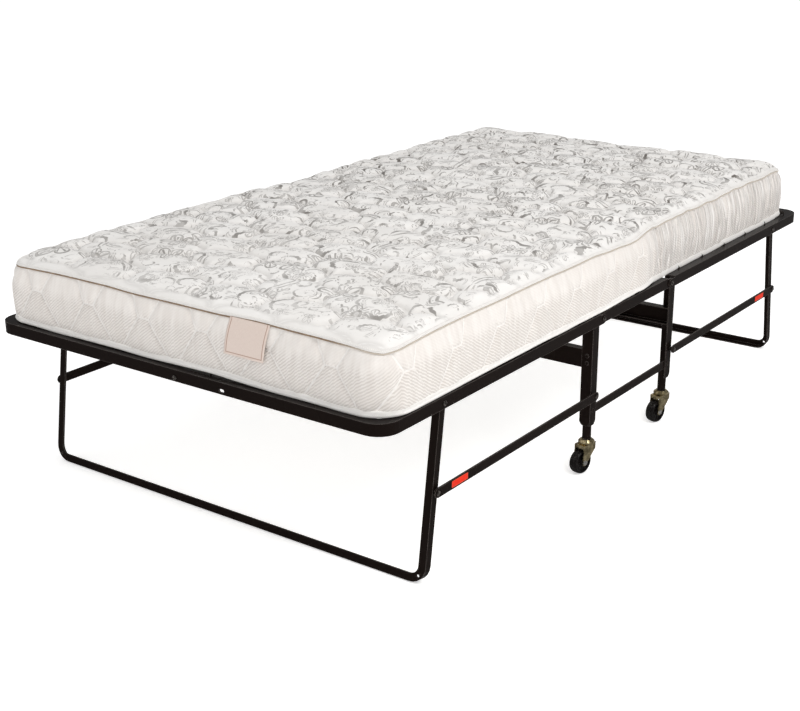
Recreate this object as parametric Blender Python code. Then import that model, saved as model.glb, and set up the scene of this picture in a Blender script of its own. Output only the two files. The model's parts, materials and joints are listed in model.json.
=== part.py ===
"""Rollaway folding bed: an angle-iron frame in three sections on four casters, with a one-piece mattress.

Metres, +Z up, +Y along the bed. The origin is on the floor under the middle of the bed. The near end is at -Y.
Both end sections fold up about hinges beside the caster legs. Each end leg hangs from its section and is held
by two link bars, so that hinge, leg pivot and the two link pivots make a parallelogram.
"""

import math

import bmesh
import bpy
from mathutils import Vector

# Overall size
WIDTH = 0.990
LENGTH = 1.830
HALF_WIDTH = WIDTH / 2
HALF_LENGTH = LENGTH / 2
GAP = 0.0004  # between pieces that touch

# Perimeter rail, an angle with its flat flange on top
RAIL_BOTTOM = 0.328
RAIL_TOP = 0.3515
RAIL_FLANGE = 0.025
RAIL_THICK = 0.003
RAIL_CORNER_RADIUS = 0.042
HOOK_HOLE_RADIUS = 0.002
HOOK_HOLE_INSET = 0.019

# Folding linkage, the same on all four corners
PIVOT_HEIGHT = 0.3385
HINGE_Y = 0.158
LEG_PIVOT_Y = HALF_LENGTH - 0.177
LINK_DROP = 0.163
LINK_SPLAY = 0.024
LINK_END_Y = LEG_PIVOT_Y + LINK_SPLAY
LINK_START_Y = HINGE_Y + LINK_SPLAY
LINK_HEIGHT = PIVOT_HEIGHT - LINK_DROP
SPLAY_ANGLE = math.atan2(LINK_SPLAY, LINK_DROP)
HINGE_EYE_RADIUS = 0.0105
HINGE_RELIEF = 0.014

# Layers across the side of the bed, from the outside in
LINK_THICK = 0.003
LINK_INNER_X = HALF_WIDTH + GAP
LINK_OUTER_X = LINK_INNER_X + LINK_THICK
LINK_HALF_HEIGHT = 0.0095
RAIL_INNER_X = HALF_WIDTH - RAIL_THICK
LAYER_X = RAIL_INNER_X - GAP  # outer face of the centre rail and of the end legs
UPRIGHT_X = LAYER_X - RAIL_THICK - GAP  # outer face of the uprights

# Centre frame
UPRIGHT_Y = 0.189
UPRIGHT_FLANGE = 0.025
UPRIGHT_THICK = 0.0025
UPRIGHT_TOP = 0.348
UPRIGHT_TAPER = 0.128
UPRIGHT_BOTTOM = 0.106
STEM_RADIUS = 0.0095
STEM_BORE = 0.0068
STEM_TOP = 0.128
STEM_BOTTOM = 0.0745
STEM_X = UPRIGHT_X - UPRIGHT_THICK - STEM_RADIUS - GAP
STEM_Y = UPRIGHT_Y - UPRIGHT_THICK - STEM_RADIUS - GAP
CROSSBAR_BOTTOM = 0.234
CROSSBAR_TOP = 0.274
CROSSBAR_DEPTH = 0.018
CROSSBAR_THICK = 0.002
CROSSBAR_RIVETS = (0.246, 0.262)
BRACE_MIDDLE = 0.140
BRACE_HALF_HEIGHT = 0.0095
BRACE_THICK = 0.003

# End legs, a lighter angle bent to a U
LEG_HALF_DEPTH = 0.008
LEG_FLANGE = 0.0165
LEG_THICK = 0.0025
LEG_CORNER_RADIUS = 0.034
LEG_NOTCH_RADIUS = 0.0030
LEG_LENGTH = (PIVOT_HEIGHT - LEG_HALF_DEPTH * math.sin(SPLAY_ANGLE)) / math.cos(SPLAY_ANGLE)

# Rivets
SHANK_RADIUS = 0.0029
HOLE_RADIUS = 0.0032
OPEN_HOLE_RADIUS = 0.0034
HEAD_RADIUS = 0.0055
HEAD_HEIGHT = 0.0034
TAIL_RADIUS = 0.0042
TAIL_HEIGHT = 0.0022
SHOULDER_RADIUS = 0.0050

# Latch stud and sight hole in the near end rail
STUD_X = 0.013
STUD_Z = 0.3355
SLOT_X = 0.130
SLOT_HALF_LENGTH = 0.006

# Casters
CASTER_TURN = math.radians(-11)
CASTER_TRAIL = 0.018
WHEEL_RADIUS = 0.026
WHEEL_HALF_WIDTH = 0.0100
WHEEL_BORE = 0.0042
AXLE_RADIUS = 0.0038
FORK_INNER = 0.0112
FORK_OUTER = 0.0132
FORK_TOP = 0.0640
FORK_BOTTOM = 0.0180
FORK_FRONT, FORK_REAR = -0.015, 0.022
FORK_LUG_RADIUS = 0.0075
CROWN_THICK = 0.003
RACE_TOP = 0.0735
RACE_RADIUS = 0.0175
PIN_RADIUS = 0.0056
PIN_TOP = 0.110

# Wire deck, a flat lattice in each section
DECK_BOTTOM = 0.3480
DECK_TOP = 0.3504
DECK_BAR = 0.004
DECK_OVERHANG = 0.036
DECK_HALF_WIDTH = HALF_WIDTH - RAIL_FLANGE - GAP
DECK_END_Y = HALF_LENGTH - RAIL_FLANGE - GAP
DECK_START_Y = 0.227
DECK_CENTRE_Y = 0.100
DECK_COLUMNS = 5
DECK_ROWS = 5
DECK_CENTRE_ROWS = 2

# Mattress, cut on 45 degree planes through each hinge so that the folded blocks clear each other
MATTRESS_BOTTOM = 0.3523
MATTRESS_TOP = 0.480
MATTRESS_NEAR_Y = 0.896
MATTRESS_FAR_Y = 0.872
MATTRESS_HALF_WIDTH = 0.483
MATTRESS_CORNER_RADIUS = 0.045
MATTRESS_EDGE = 0.008
FOLD_CLEARANCE = 0.002

ROUND_STEPS = 8
CORNER_STEPS = 6
WHEEL_STEPS = 20

X_AXIS = Vector((1, 0, 0))
Y_AXIS = Vector((0, 1, 0))
Z_AXIS = Vector((0, 0, 1))


# Solids: each function returns (points, faces) of one closed body


def prism(outline, depth):
    """A flat outline pushed along the vector depth."""
    count = len(outline)
    points = [Vector(p) for p in outline] + [Vector(p) + depth for p in outline]
    faces = [list(range(count))[::-1], list(range(count, 2 * count))]
    for i in range(count):
        j = (i + 1) % count
        faces.append([i, j, count + j, count + i])
    return points, faces


def box(low, high):
    """A block between two corners."""
    x0, y0, z0 = low
    x1, y1, z1 = high
    outline = [(x0, y0, z0), (x1, y0, z0), (x1, y1, z0), (x0, y1, z0)]
    return prism(outline, Vector((0, 0, z1 - z0)))


def side_directions(axis):
    """Two unit vectors square to axis and to each other."""
    helper = Z_AXIS if abs(axis.z) < 0.9 else X_AXIS
    first = axis.cross(helper).normalized()
    return first, axis.cross(first).normalized()


def turned(profile, centre, axis, steps=ROUND_STEPS, ring=False):
    """A profile of (radius, distance along axis) turned about the axis. A ring has a bore and a closed profile."""
    centre = Vector(centre)
    axis = Vector(axis).normalized()
    first, second = side_directions(axis)
    points = []
    rows = []
    for radius, along in profile:
        middle = centre + axis * along
        if radius < 1e-9:
            rows.append([len(points)] * steps)
            points.append(middle)
            continue
        rows.append(list(range(len(points), len(points) + steps)))
        for k in range(steps):
            angle = 2 * math.pi * k / steps
            points.append(middle + (first * math.cos(angle) + second * math.sin(angle)) * radius)
    faces = []
    pairs = list(zip(rows, rows[1:]))
    if ring:
        pairs.append((rows[-1], rows[0]))
    for low, high in pairs:
        for k in range(steps):
            n = (k + 1) % steps
            corners = [low[k], low[n], high[n], high[k]]
            faces.append(list(dict.fromkeys(corners)))
    return points, faces


def cylinder(start, end, radius, steps=ROUND_STEPS):
    """A round bar from start to end."""
    start = Vector(start)
    span = Vector(end) - start
    profile = [(0, 0), (radius, 0), (radius, span.length), (0, span.length)]
    return turned(profile, start, span, steps)


def swept(rings):
    """Rings with the same number of points, joined in order and capped at both ends."""
    count = len(rings[0])
    points = [Vector(p) for one_ring in rings for p in one_ring]
    faces = [list(range(count)), list(range(len(points) - count, len(points)))]
    for r in range(len(rings) - 1):
        for i in range(count):
            j = (i + 1) % count
            low = r * count
            faces.append([low + i, low + j, low + count + j, low + count + i])
    return points, faces


def angle_profile(flange, thick, low, high):
    """An L section as (distance in from the outer face, height), with its flat flange at the high end."""
    return [(0, low), (0, high), (flange, high), (flange, high - thick), (thick, high - thick), (thick, low)]


def bent_u(origin, along, up, half_width, start, end, radius, profile):
    """An L section swept round a U in the plane of X and along, with its outer face on the path."""
    path = [(half_width, start, 1.0, 0.0)]
    for k in range(CORNER_STEPS + 1):
        turn = math.pi / 2 * k / CORNER_STEPS
        c, s = math.cos(turn), math.sin(turn)
        path.append((half_width - radius + radius * c, end - radius + radius * s, c, s))
    path += [(-x, y, -out_x, out_y) for x, y, out_x, out_y in reversed(path)]
    rings = []
    for x, y, out_x, out_y in path:
        rings.append(
            [
                origin + X_AXIS * (x - out_x * inset) + along * (y - out_y * inset) + up * height
                for inset, height in profile
            ]
        )
    return swept(rings)


def stadium(start, end, radius, thick, out):
    """A flat bar with round ends between two pivots, of the given thickness along out."""
    start, end = Vector(start), Vector(end)
    run = (end - start).normalized()
    across = run.cross(out).normalized()
    outline = []
    for middle, way in ((end, 1), (start, -1)):
        for k in range(ROUND_STEPS // 2 + 1):
            angle = -math.pi / 2 + math.pi * k / (ROUND_STEPS // 2)
            outline.append(middle + (run * math.cos(angle) + across * math.sin(angle)) * radius * way)
    return prism(outline, out * thick)


def end_rounders(centre, out, toward, across, radius, reach, depth):
    """Two corner pieces that round off the end of a flat strip about centre."""
    pieces = []
    for side in (1, -1):
        outline = [centre + (toward * reach + across * side * reach)]
        for k in range(ROUND_STEPS // 2 + 1):
            angle = math.pi / 2 * k / (ROUND_STEPS // 2)
            offset = toward * math.sin(angle) + across * side * math.cos(angle)
            outline.append(centre + offset * radius)
        outline.insert(1, centre + across * side * reach)
        outline.append(centre + toward * reach)
        pieces.append(prism([p - out * depth / 2 for p in outline], out * depth))
    return pieces


def lattice(x_edges, y_edges, low, high):
    """A flat grid: the odd strips between the edges are bars and the even ones are gaps."""
    columns, rows = len(x_edges) - 1, len(y_edges) - 1

    def filled(i, j):
        return 0 <= i < columns and 0 <= j < rows and (i % 2 == 1 or j % 2 == 1)

    points, index, faces = [], {}, []

    def corner(i, j, z):
        key = (i, j, z)
        if key not in index:
            index[key] = len(points)
            points.append(Vector((x_edges[i], y_edges[j], z)))
        return index[key]

    for i in range(columns):
        for j in range(rows):
            if not filled(i, j):
                continue
            square = [(i, j), (i + 1, j), (i + 1, j + 1), (i, j + 1)]
            faces.append([corner(a, b, high) for a, b in square])
            faces.append([corner(a, b, low) for a, b in reversed(square)])
            beside = [(i, j - 1), (i + 1, j), (i, j + 1), (i - 1, j)]
            for k, (a, b) in enumerate(beside):
                if filled(a, b):
                    continue
                (p, q), (r, s) = square[k], square[(k + 1) % 4]
                faces.append([corner(p, q, low), corner(r, s, low), corner(r, s, high), corner(p, q, high)])
    return points, faces


def strip_edges(start, end, overhangs, spaces):
    """Edges of bars and gaps: an overhang, then bars with equal spaces, then an overhang."""
    first, last = start + overhangs[0], end - overhangs[1]
    pitch = (last - first - DECK_BAR) / spaces
    edges = [start]
    for k in range(spaces + 1):
        edges += [first + k * pitch, first + k * pitch + DECK_BAR]
    return edges + [end]


# Objects


def clear_scene():
    for obj in list(bpy.data.objects):
        bpy.data.objects.remove(obj, do_unlink=True)


def material(name, colour, roughness, metallic):
    """A plain Principled material, made once."""
    made = bpy.data.materials.get(name)
    if made is None:
        made = bpy.data.materials.new(name)
        made.use_nodes = True
        shader = made.node_tree.nodes["Principled BSDF"]
        shader.inputs["Base Color"].default_value = (*colour, 1)
        shader.inputs["Roughness"].default_value = roughness
        shader.inputs["Metallic"].default_value = metallic
    return made


def enamel():
    return material("dark_enamel", (0.022, 0.016, 0.014), 0.38, 0.0)


def zinc():
    return material("yellow_zinc", (0.55, 0.45, 0.24), 0.32, 1.0)


def rubber():
    return material("black_wheel", (0.015, 0.015, 0.016), 0.45, 0.0)


def steel():
    return material("bright_steel", (0.62, 0.60, 0.57), 0.25, 1.0)


def ticking():
    return material("mattress_cover", (0.82, 0.79, 0.75), 0.85, 0.0)


def empty(name, world, parent=None):
    """A joint centre, which its moving pieces hang from."""
    holder = bpy.data.objects.new(name, None)
    bpy.context.scene.collection.objects.link(holder)
    holder.empty_display_size = 0.03
    holder.parent = parent
    holder["world"] = tuple(world)
    base = Vector(parent["world"]) if parent else Vector((0, 0, 0))
    holder.location = Vector(world) - base
    return holder


def mesh_object(name, solid, parent):
    """An object from one solid, in the frame of its parent empty."""
    points, faces = solid
    base = Vector(parent["world"]) if parent else Vector((0, 0, 0))
    mesh = bpy.data.meshes.new(name)
    work = bmesh.new()
    made = [work.verts.new(Vector(p) - base) for p in points]
    for face in faces:
        work.faces.new([made[i] for i in face])
    bmesh.ops.recalc_face_normals(work, faces=work.faces)
    work.to_mesh(mesh)
    work.free()
    obj = bpy.data.objects.new(name, mesh)
    bpy.context.scene.collection.objects.link(obj)
    obj.parent = parent
    return obj


def part(name, solid, finish, parent=None, unions=(), cuts=(), keeps=(), smooth=False):
    """A named sub-part: a solid, then what is welded on, what it is trimmed to and what is cut out."""
    obj = mesh_object(name, solid, parent)
    obj.data.materials.append(finish)
    steps = [("UNION", s) for s in unions]
    steps += [("INTERSECT", s) for s in keeps]
    steps += [("DIFFERENCE", s) for s in cuts]
    for number, (operation, tool_solid) in enumerate(steps):
        tool = mesh_object(f"{name}_tool_{number}", tool_solid, parent)
        tool.hide_render = True
        tool.display_type = "WIRE"
        modifier = obj.modifiers.new(f"{operation.lower()}_{number}", "BOOLEAN")
        modifier.operation = operation
        modifier.solver = "EXACT"
        modifier.object = tool
    if smooth:
        obj.data.shade_smooth()
        obj.data.set_sharp_from_angle(angle=math.radians(40))
    return obj


# Frame


def rail_profile():
    return angle_profile(RAIL_FLANGE, RAIL_THICK, RAIL_BOTTOM, RAIL_TOP)


def hole_x(x, y, z, radius=HOLE_RADIUS, reach=0.006):
    """A round cutter along X, centred on the given point."""
    return cylinder((x - reach, y, z), (x + reach, y, z), radius)


def hook_holes(out):
    """Cutters for the spring hook holes round the flat flange of an end section."""
    inset_x = HALF_WIDTH - HOOK_HOLE_INSET
    inset_y = HALF_LENGTH - HOOK_HOLE_INSET
    first_row, last_row = DECK_START_Y + DECK_BAR, DECK_END_Y - DECK_OVERHANG
    spots = []
    for k in range(DECK_ROWS + 1):
        y = first_row + (last_row - first_row) * k / DECK_ROWS
        spots += [(side * inset_x, y) for side in (1, -1)]
    for k in range(DECK_COLUMNS + 1):
        reach = DECK_HALF_WIDTH - DECK_OVERHANG
        spots.append((-reach + 2 * reach * k / DECK_COLUMNS, inset_y))
    low, high = RAIL_TOP - 2 * RAIL_THICK, RAIL_TOP + RAIL_THICK
    return [cylinder((x, out * y, low), (x, out * y, high), HOOK_HOLE_RADIUS, 6) for x, y in spots]


def section_rail(name, out, parent):
    """One bent end section. out is -1 for the near end and 1 for the far end."""
    along = Y_AXIS * out
    body = bent_u(
        Vector((0, 0, 0)),
        along,
        Z_AXIS,
        HALF_WIDTH,
        HINGE_Y - HINGE_EYE_RADIUS,
        HALF_LENGTH,
        RAIL_CORNER_RADIUS,
        rail_profile(),
    )
    cuts = hook_holes(out)
    middle_x = HALF_WIDTH - RAIL_THICK / 2
    for side in (1, -1):
        eye = Vector((side * middle_x, out * HINGE_Y, PIVOT_HEIGHT))
        ends = sorted((side * (HALF_WIDTH + 0.01), side * (HALF_WIDTH - RAIL_FLANGE - 0.005)))
        reach = sorted((out * (HINGE_Y - 0.03), out * (HINGE_Y + HINGE_RELIEF)))
        cuts.append(box((ends[0], reach[0], RAIL_TOP - RAIL_THICK), (ends[1], reach[1], RAIL_TOP + 0.01)))
        cuts += end_rounders(eye, X_AXIS, -along, Z_AXIS, HINGE_EYE_RADIUS, 0.02, 0.008)
        cuts.append(hole_x(side * middle_x, out * HINGE_Y, PIVOT_HEIGHT))
        cuts.append(hole_x(side * middle_x, out * LEG_PIVOT_Y, PIVOT_HEIGHT))
    if out < 0:
        cuts += latch_holes()
    return part(name, body, enamel(), parent, cuts=cuts)


def latch_holes():
    """Cutters for the stud and the oval hole in the near end rail."""
    y = -HALF_LENGTH
    stud = cylinder((STUD_X, y - 0.01, STUD_Z), (STUD_X, y + 0.01, STUD_Z), HOLE_RADIUS)
    start = Vector((SLOT_X - SLOT_HALF_LENGTH / 2, y - 0.01, STUD_Z))
    end = start + X_AXIS * SLOT_HALF_LENGTH
    slot = stadium(start, end, HOLE_RADIUS, 0.02, Y_AXIS)
    return [stud, slot]


def latch_stud(parent):
    """A round-headed stud through the near end rail."""
    profile = rivet_profile(HALF_LENGTH, HALF_LENGTH - RAIL_THICK)
    part("latch_stud", turned(profile, (STUD_X, 0, STUD_Z), -Y_AXIS), enamel(), parent, smooth=True)


def centre_rail(name, side):
    """The short straight rail between the hinges."""
    outline = [
        Vector((side * (LAYER_X - inset), -HINGE_Y - HINGE_EYE_RADIUS, height))
        for inset, height in angle_profile(RAIL_FLANGE - RAIL_THICK, RAIL_THICK, RAIL_BOTTOM, RAIL_TOP)
    ]
    body = prism(outline, Y_AXIS * 2 * (HINGE_Y + HINGE_EYE_RADIUS))
    middle_x = side * (LAYER_X - RAIL_THICK / 2)
    cuts = []
    for out in (1, -1):
        eye = Vector((middle_x, out * HINGE_Y, PIVOT_HEIGHT))
        reach = sorted((out * (HINGE_Y + 0.03), out * (HINGE_Y - HINGE_RELIEF)))
        ends = sorted((side * HALF_WIDTH, side * (HALF_WIDTH - RAIL_FLANGE - 0.01)))
        cuts.append(box((ends[0], reach[0], RAIL_TOP - RAIL_THICK), (ends[1], reach[1], RAIL_TOP + 0.01)))
        cuts += end_rounders(eye, X_AXIS, Y_AXIS * out, Z_AXIS, HINGE_EYE_RADIUS, 0.02, 0.008)
        cuts.append(hole_x(middle_x, out * HINGE_Y, PIVOT_HEIGHT))
    return part(name, body, enamel(), cuts=cuts)


def dome(centre, axis, radius, height, sink=0.001):
    """A rivet head that sits on a face, sunk a little into it so that the two weld."""
    profile = [
        (0, -sink),
        (radius, -sink),
        (radius, height * 0.25),
        (radius * 0.75, height * 0.75),
        (radius * 0.35, height),
        (0, height),
    ]
    return turned(profile, centre, axis)


def upright(name, side, out):
    """A corner post of angle, drawn in round the caster stem at its foot."""
    x, y = side * UPRIGHT_X, out * UPRIGHT_Y
    to_x, to_y = -side * UPRIGHT_FLANGE, -out * UPRIGHT_FLANGE
    in_x, in_y = -side * UPRIGHT_THICK, -out * UPRIGHT_THICK
    outline = [
        (x, y),
        (x + to_x, y),
        (x + to_x, y + in_y),
        (x + in_x, y + in_y),
        (x + in_x, y + to_y),
        (x, y + to_y),
    ]
    body = prism([(a, b, UPRIGHT_BOTTOM) for a, b in outline], Z_AXIS * (UPRIGHT_TOP - UPRIGHT_BOTTOM))
    wide = 0.05
    narrow = STEM_RADIUS + UPRIGHT_THICK + 0.001
    taper_rise = UPRIGHT_TAPER - UPRIGHT_BOTTOM
    taper = [
        (0, -0.001),
        (narrow, -0.001),
        (UPRIGHT_FLANGE, taper_rise),
        (wide, taper_rise + 0.004),
        (wide, 0.3),
        (0, 0.3),
    ]
    envelope = turned(taper, (side * STEM_X, out * STEM_Y, UPRIGHT_BOTTOM), Z_AXIS, 24)
    middle_x, middle_y = side * STEM_X, out * STEM_Y
    heads = [dome((middle_x, y, z), Y_AXIS * out, 0.0045, 0.0024) for z in CROSSBAR_RIVETS]
    heads.append(dome((x, middle_y, BRACE_MIDDLE), X_AXIS * side, 0.0045, 0.0024))
    hole = hole_x(x + in_x / 2, out * LINK_START_Y, LINK_HEIGHT)
    return part(name, body, enamel(), unions=heads, keeps=[envelope], cuts=[hole])


def caster_stem(name, side, out):
    """The tube that the caster pin turns in."""
    profile = [
        (STEM_BORE, STEM_BOTTOM),
        (STEM_RADIUS, STEM_BOTTOM),
        (STEM_RADIUS, STEM_TOP),
        (STEM_BORE, STEM_TOP),
    ]
    tube = turned(profile, (side * STEM_X, out * STEM_Y, 0), Z_AXIS, 20, ring=True)
    return part(name, tube, enamel(), smooth=True)


def crossbar(name, out):
    """A channel between the left and right uprights, with its web against their faces."""
    web = UPRIGHT_Y - UPRIGHT_THICK - GAP
    low, high, thick = CROSSBAR_BOTTOM, CROSSBAR_TOP, CROSSBAR_THICK
    section = [
        (web, low),
        (web, high),
        (web - CROSSBAR_DEPTH, high),
        (web - CROSSBAR_DEPTH, high - thick),
        (web - thick, high - thick),
        (web - thick, low + thick),
        (web - CROSSBAR_DEPTH, low + thick),
        (web - CROSSBAR_DEPTH, low),
    ]
    reach = UPRIGHT_X - UPRIGHT_THICK - GAP
    return part(name, prism([(-reach, out * y, z) for y, z in section], X_AXIS * 2 * reach), enamel())


def lower_brace(name, side):
    """A flat bar between the near and far uprights of one side."""
    outer = UPRIGHT_X - UPRIGHT_THICK - GAP
    reach = UPRIGHT_Y - UPRIGHT_THICK - GAP
    xs = sorted((side * outer, side * (outer - BRACE_THICK)))
    low, high = BRACE_MIDDLE - BRACE_HALF_HEIGHT, BRACE_MIDDLE + BRACE_HALF_HEIGHT
    return part(name, box((xs[0], -reach, low), (xs[1], reach, high)), enamel())


# Folding ends


def rivet_profile(head_face, tail_face, shoulder=None):
    """A rivet along an axis: domed head beyond head_face, tail inside tail_face, and maybe a spacer between."""
    profile = [
        (0, tail_face - GAP - TAIL_HEIGHT),
        (TAIL_RADIUS * 0.6, tail_face - GAP - TAIL_HEIGHT),
        (TAIL_RADIUS, tail_face - GAP - TAIL_HEIGHT * 0.5),
        (TAIL_RADIUS, tail_face - GAP),
        (SHANK_RADIUS, tail_face - GAP),
    ]
    if shoulder:
        low, high = shoulder
        profile += [
            (SHANK_RADIUS, low + GAP),
            (SHOULDER_RADIUS, low + GAP),
            (SHOULDER_RADIUS, high - GAP),
            (SHANK_RADIUS, high - GAP),
        ]
    return profile + [
        (SHANK_RADIUS, head_face + GAP),
        (HEAD_RADIUS, head_face + GAP),
        (HEAD_RADIUS * 0.92, head_face + HEAD_HEIGHT * 0.55),
        (HEAD_RADIUS * 0.55, head_face + HEAD_HEIGHT * 0.92),
        (0, head_face + HEAD_HEIGHT),
    ]


def rivet(name, side, y, z, profile, parent):
    """A rivet through the side of the bed."""
    return part(name, turned(profile, (0, y, z), X_AXIS * side), enamel(), parent, smooth=True)


def leg_frame(out):
    """The pivot line, the way down the leg and the outward normal of a splayed end leg."""
    origin = Vector((0, out * LEG_PIVOT_Y, PIVOT_HEIGHT))
    c, s = math.cos(SPLAY_ANGLE), math.sin(SPLAY_ANGLE)
    return origin, Vector((0, out * s, -c)), Vector((0, out * c, s))


def end_leg(name, out, parent):
    """A U of light angle, notched in the flat flange at each bend."""
    origin, down, normal = leg_frame(out)
    profile = angle_profile(LEG_FLANGE, LEG_THICK, -LEG_HALF_DEPTH, LEG_HALF_DEPTH)
    body = bent_u(origin, down, normal, LAYER_X, -LEG_HALF_DEPTH, LEG_LENGTH, LEG_CORNER_RADIUS, profile)
    cuts = []
    for side in (1, -1):
        middle = origin + X_AXIS * side * (LAYER_X - LEG_THICK / 2)
        cuts += end_rounders(middle, X_AXIS, -down, normal, LEG_HALF_DEPTH, 0.02, 0.006)
        relief = [
            origin + X_AXIS * side * (LAYER_X - LEG_THICK - GAP) + normal * 0.003 - down * 0.02,
            origin + X_AXIS * side * (LAYER_X - 0.03) + normal * 0.003 - down * 0.02,
            origin + X_AXIS * side * (LAYER_X - 0.03) + normal * 0.003 + down * 0.004,
            origin + X_AXIS * side * (LAYER_X - LEG_THICK - GAP) + normal * 0.003 + down * 0.004,
        ]
        cuts.append(prism(relief, normal * 0.02))
        cuts.append(hole_x(middle.x, origin.y, origin.z))
        cuts.append(hole_x(middle.x, out * LINK_END_Y, LINK_HEIGHT, OPEN_HOLE_RADIUS))
        notch_in = LEG_CORNER_RADIUS * (1 - math.sqrt(0.5)) + (LEG_THICK + 0.0050) * math.sqrt(0.5)
        notch = origin + X_AXIS * side * (LAYER_X - notch_in) + down * (LEG_LENGTH - notch_in)
        cuts.append(cylinder(notch + normal * 0.002, notch + normal * 0.02, LEG_NOTCH_RADIUS))
    return part(name, body, enamel(), parent, cuts=cuts)


def link_bar(name, side, out, parent):
    """A flat bar from an upright to an end leg, outside the rails."""
    x = side * LINK_INNER_X
    start = (x, out * LINK_START_Y, LINK_HEIGHT)
    end = (x, out * LINK_END_Y, LINK_HEIGHT)
    body = stadium(start, end, LINK_HALF_HEIGHT, LINK_THICK, X_AXIS * side)
    middle_x = x + side * LINK_THICK / 2
    cuts = [hole_x(middle_x, out * y, LINK_HEIGHT) for y in (LINK_START_Y, LINK_END_Y)]
    return part(name, body, enamel(), parent, cuts=cuts)


def deck(name, reach, overhangs, rows, parent=None):
    """The springy wire deck of one section, as a flat lattice."""
    x_edges = strip_edges(-DECK_HALF_WIDTH, DECK_HALF_WIDTH, (DECK_OVERHANG, DECK_OVERHANG), DECK_COLUMNS)
    y_edges = strip_edges(*reach, overhangs, rows)
    return part(name, lattice(x_edges, y_edges, DECK_BOTTOM, DECK_TOP), steel(), parent)


def mattress_block(name, rings, parent=None):
    """A mattress block from horizontal outlines, bottom first."""
    return part(name, swept(rings), ticking(), parent, smooth=False)


def end_block_ring(out, end_y, inner_y, height, inset):
    """The outline of an end block at one height, with its two outer corners rounded."""
    half, end = MATTRESS_HALF_WIDTH - inset, end_y - inset
    radius = MATTRESS_CORNER_RADIUS - inset
    ring = [Vector((-half, out * inner_y, height)), Vector((half, out * inner_y, height))]
    for start_turn, side in ((0, 1), (math.pi / 2, -1)):
        for k in range(CORNER_STEPS + 1):
            turn = start_turn + math.pi / 2 * k / CORNER_STEPS
            x = side * (half - radius) + radius * math.cos(turn)
            y = end - radius + radius * math.sin(turn)
            ring.append(Vector((x, out * y, height)))
    return ring


def fold_plane_y(height, way):
    """How far from the middle the 45 degree fold plane is at a height. way is 1 for the end block, -1 inside."""
    return HINGE_Y + way * (height - PIVOT_HEIGHT + FOLD_CLEARANCE)


def mattress():
    """Three blocks: one on each end section and a wedge between them."""
    levels = [
        (MATTRESS_BOTTOM, MATTRESS_EDGE),
        (MATTRESS_BOTTOM + MATTRESS_EDGE, 0),
        (MATTRESS_TOP - MATTRESS_EDGE, 0),
        (MATTRESS_TOP, MATTRESS_EDGE),
    ]
    ends = (("near_mattress", -1, MATTRESS_NEAR_Y), ("far_mattress", 1, MATTRESS_FAR_Y))
    for name, out, end_y in ends:
        rings = [end_block_ring(out, end_y, fold_plane_y(z, 1), z, inset) for z, inset in levels]
        mattress_block(name, rings, bpy.data.objects["near_fold_axis" if out < 0 else "far_fold_axis"])
    rings = []
    for z, inset in levels:
        half, y = MATTRESS_HALF_WIDTH - inset, fold_plane_y(z, -1)
        rings.append([Vector(p) for p in ((-half, -y, z), (half, -y, z), (half, y, z), (-half, y, z))])
    mattress_block("middle_mattress", rings)


# Casters


def caster(name, side, out):
    """A swivel fork with its pin, a wheel and the axle bolt, trailing one way."""
    foot = Vector((side * STEM_X, out * STEM_Y, 0))
    across = Vector((math.cos(CASTER_TURN), math.sin(CASTER_TURN), 0))
    trail = Vector((math.sin(CASTER_TURN), -math.cos(CASTER_TURN), 0))
    hub = foot + trail * CASTER_TRAIL + Z_AXIS * WHEEL_RADIUS
    swivel = empty(f"{name}_swivel_axis", foot + Z_AXIS * FORK_TOP)
    spin = empty(f"{name}_wheel_axis", hub, swivel)
    part(
        f"{name}_fork",
        fork_channel(foot, across, trail),
        zinc(),
        swivel,
        unions=[fork_race(foot)],
        keeps=[fork_outline(foot, across, trail)],
        cuts=[cylinder(hub - across * 0.03, hub + across * 0.03, WHEEL_BORE)],
    )
    part(f"{name}_axle", axle_bolt(hub, across), steel(), swivel, smooth=True)
    part(f"{name}_wheel", tread(hub, across), rubber(), spin, smooth=True)


def fork_channel(foot, across, trail):
    """The bent strip of the fork, an upside-down U."""
    section = [
        (-FORK_OUTER, FORK_BOTTOM),
        (-FORK_OUTER, FORK_TOP),
        (FORK_OUTER, FORK_TOP),
        (FORK_OUTER, FORK_BOTTOM),
        (FORK_INNER, FORK_BOTTOM),
        (FORK_INNER, FORK_TOP - CROWN_THICK),
        (-FORK_INNER, FORK_TOP - CROWN_THICK),
        (-FORK_INNER, FORK_BOTTOM),
    ]
    start = foot - trail * 0.03
    return prism([start + across * a + Z_AXIS * z for a, z in section], trail * 0.08)


def fork_outline(foot, across, trail):
    """The side view of the fork, wide at the crown and round about the axle, with the race and pin above."""
    lug = FORK_LUG_RADIUS
    outline = [
        (FORK_FRONT, FORK_TOP - 0.0001),
        (FORK_FRONT, FORK_TOP - 0.012),
        (CASTER_TRAIL - 0.9 * lug, WHEEL_RADIUS - 0.003),
    ]
    for k in range(5):
        angle = math.radians(-120 + 30 * k)
        outline.append((CASTER_TRAIL + lug * math.cos(angle), WHEEL_RADIUS + lug * math.sin(angle)))
    outline += [
        (FORK_REAR, FORK_TOP - 0.012),
        (FORK_REAR, FORK_TOP - 0.0001),
        (0.0185, FORK_TOP - 0.0001),
        (0.0185, PIN_TOP + 0.01),
        (-0.0185, PIN_TOP + 0.01),
        (-0.0185, FORK_TOP - 0.0001),
    ]
    start = foot - across * 0.03
    return prism([start + trail * t + Z_AXIS * z for t, z in outline], across * 0.06)


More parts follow.
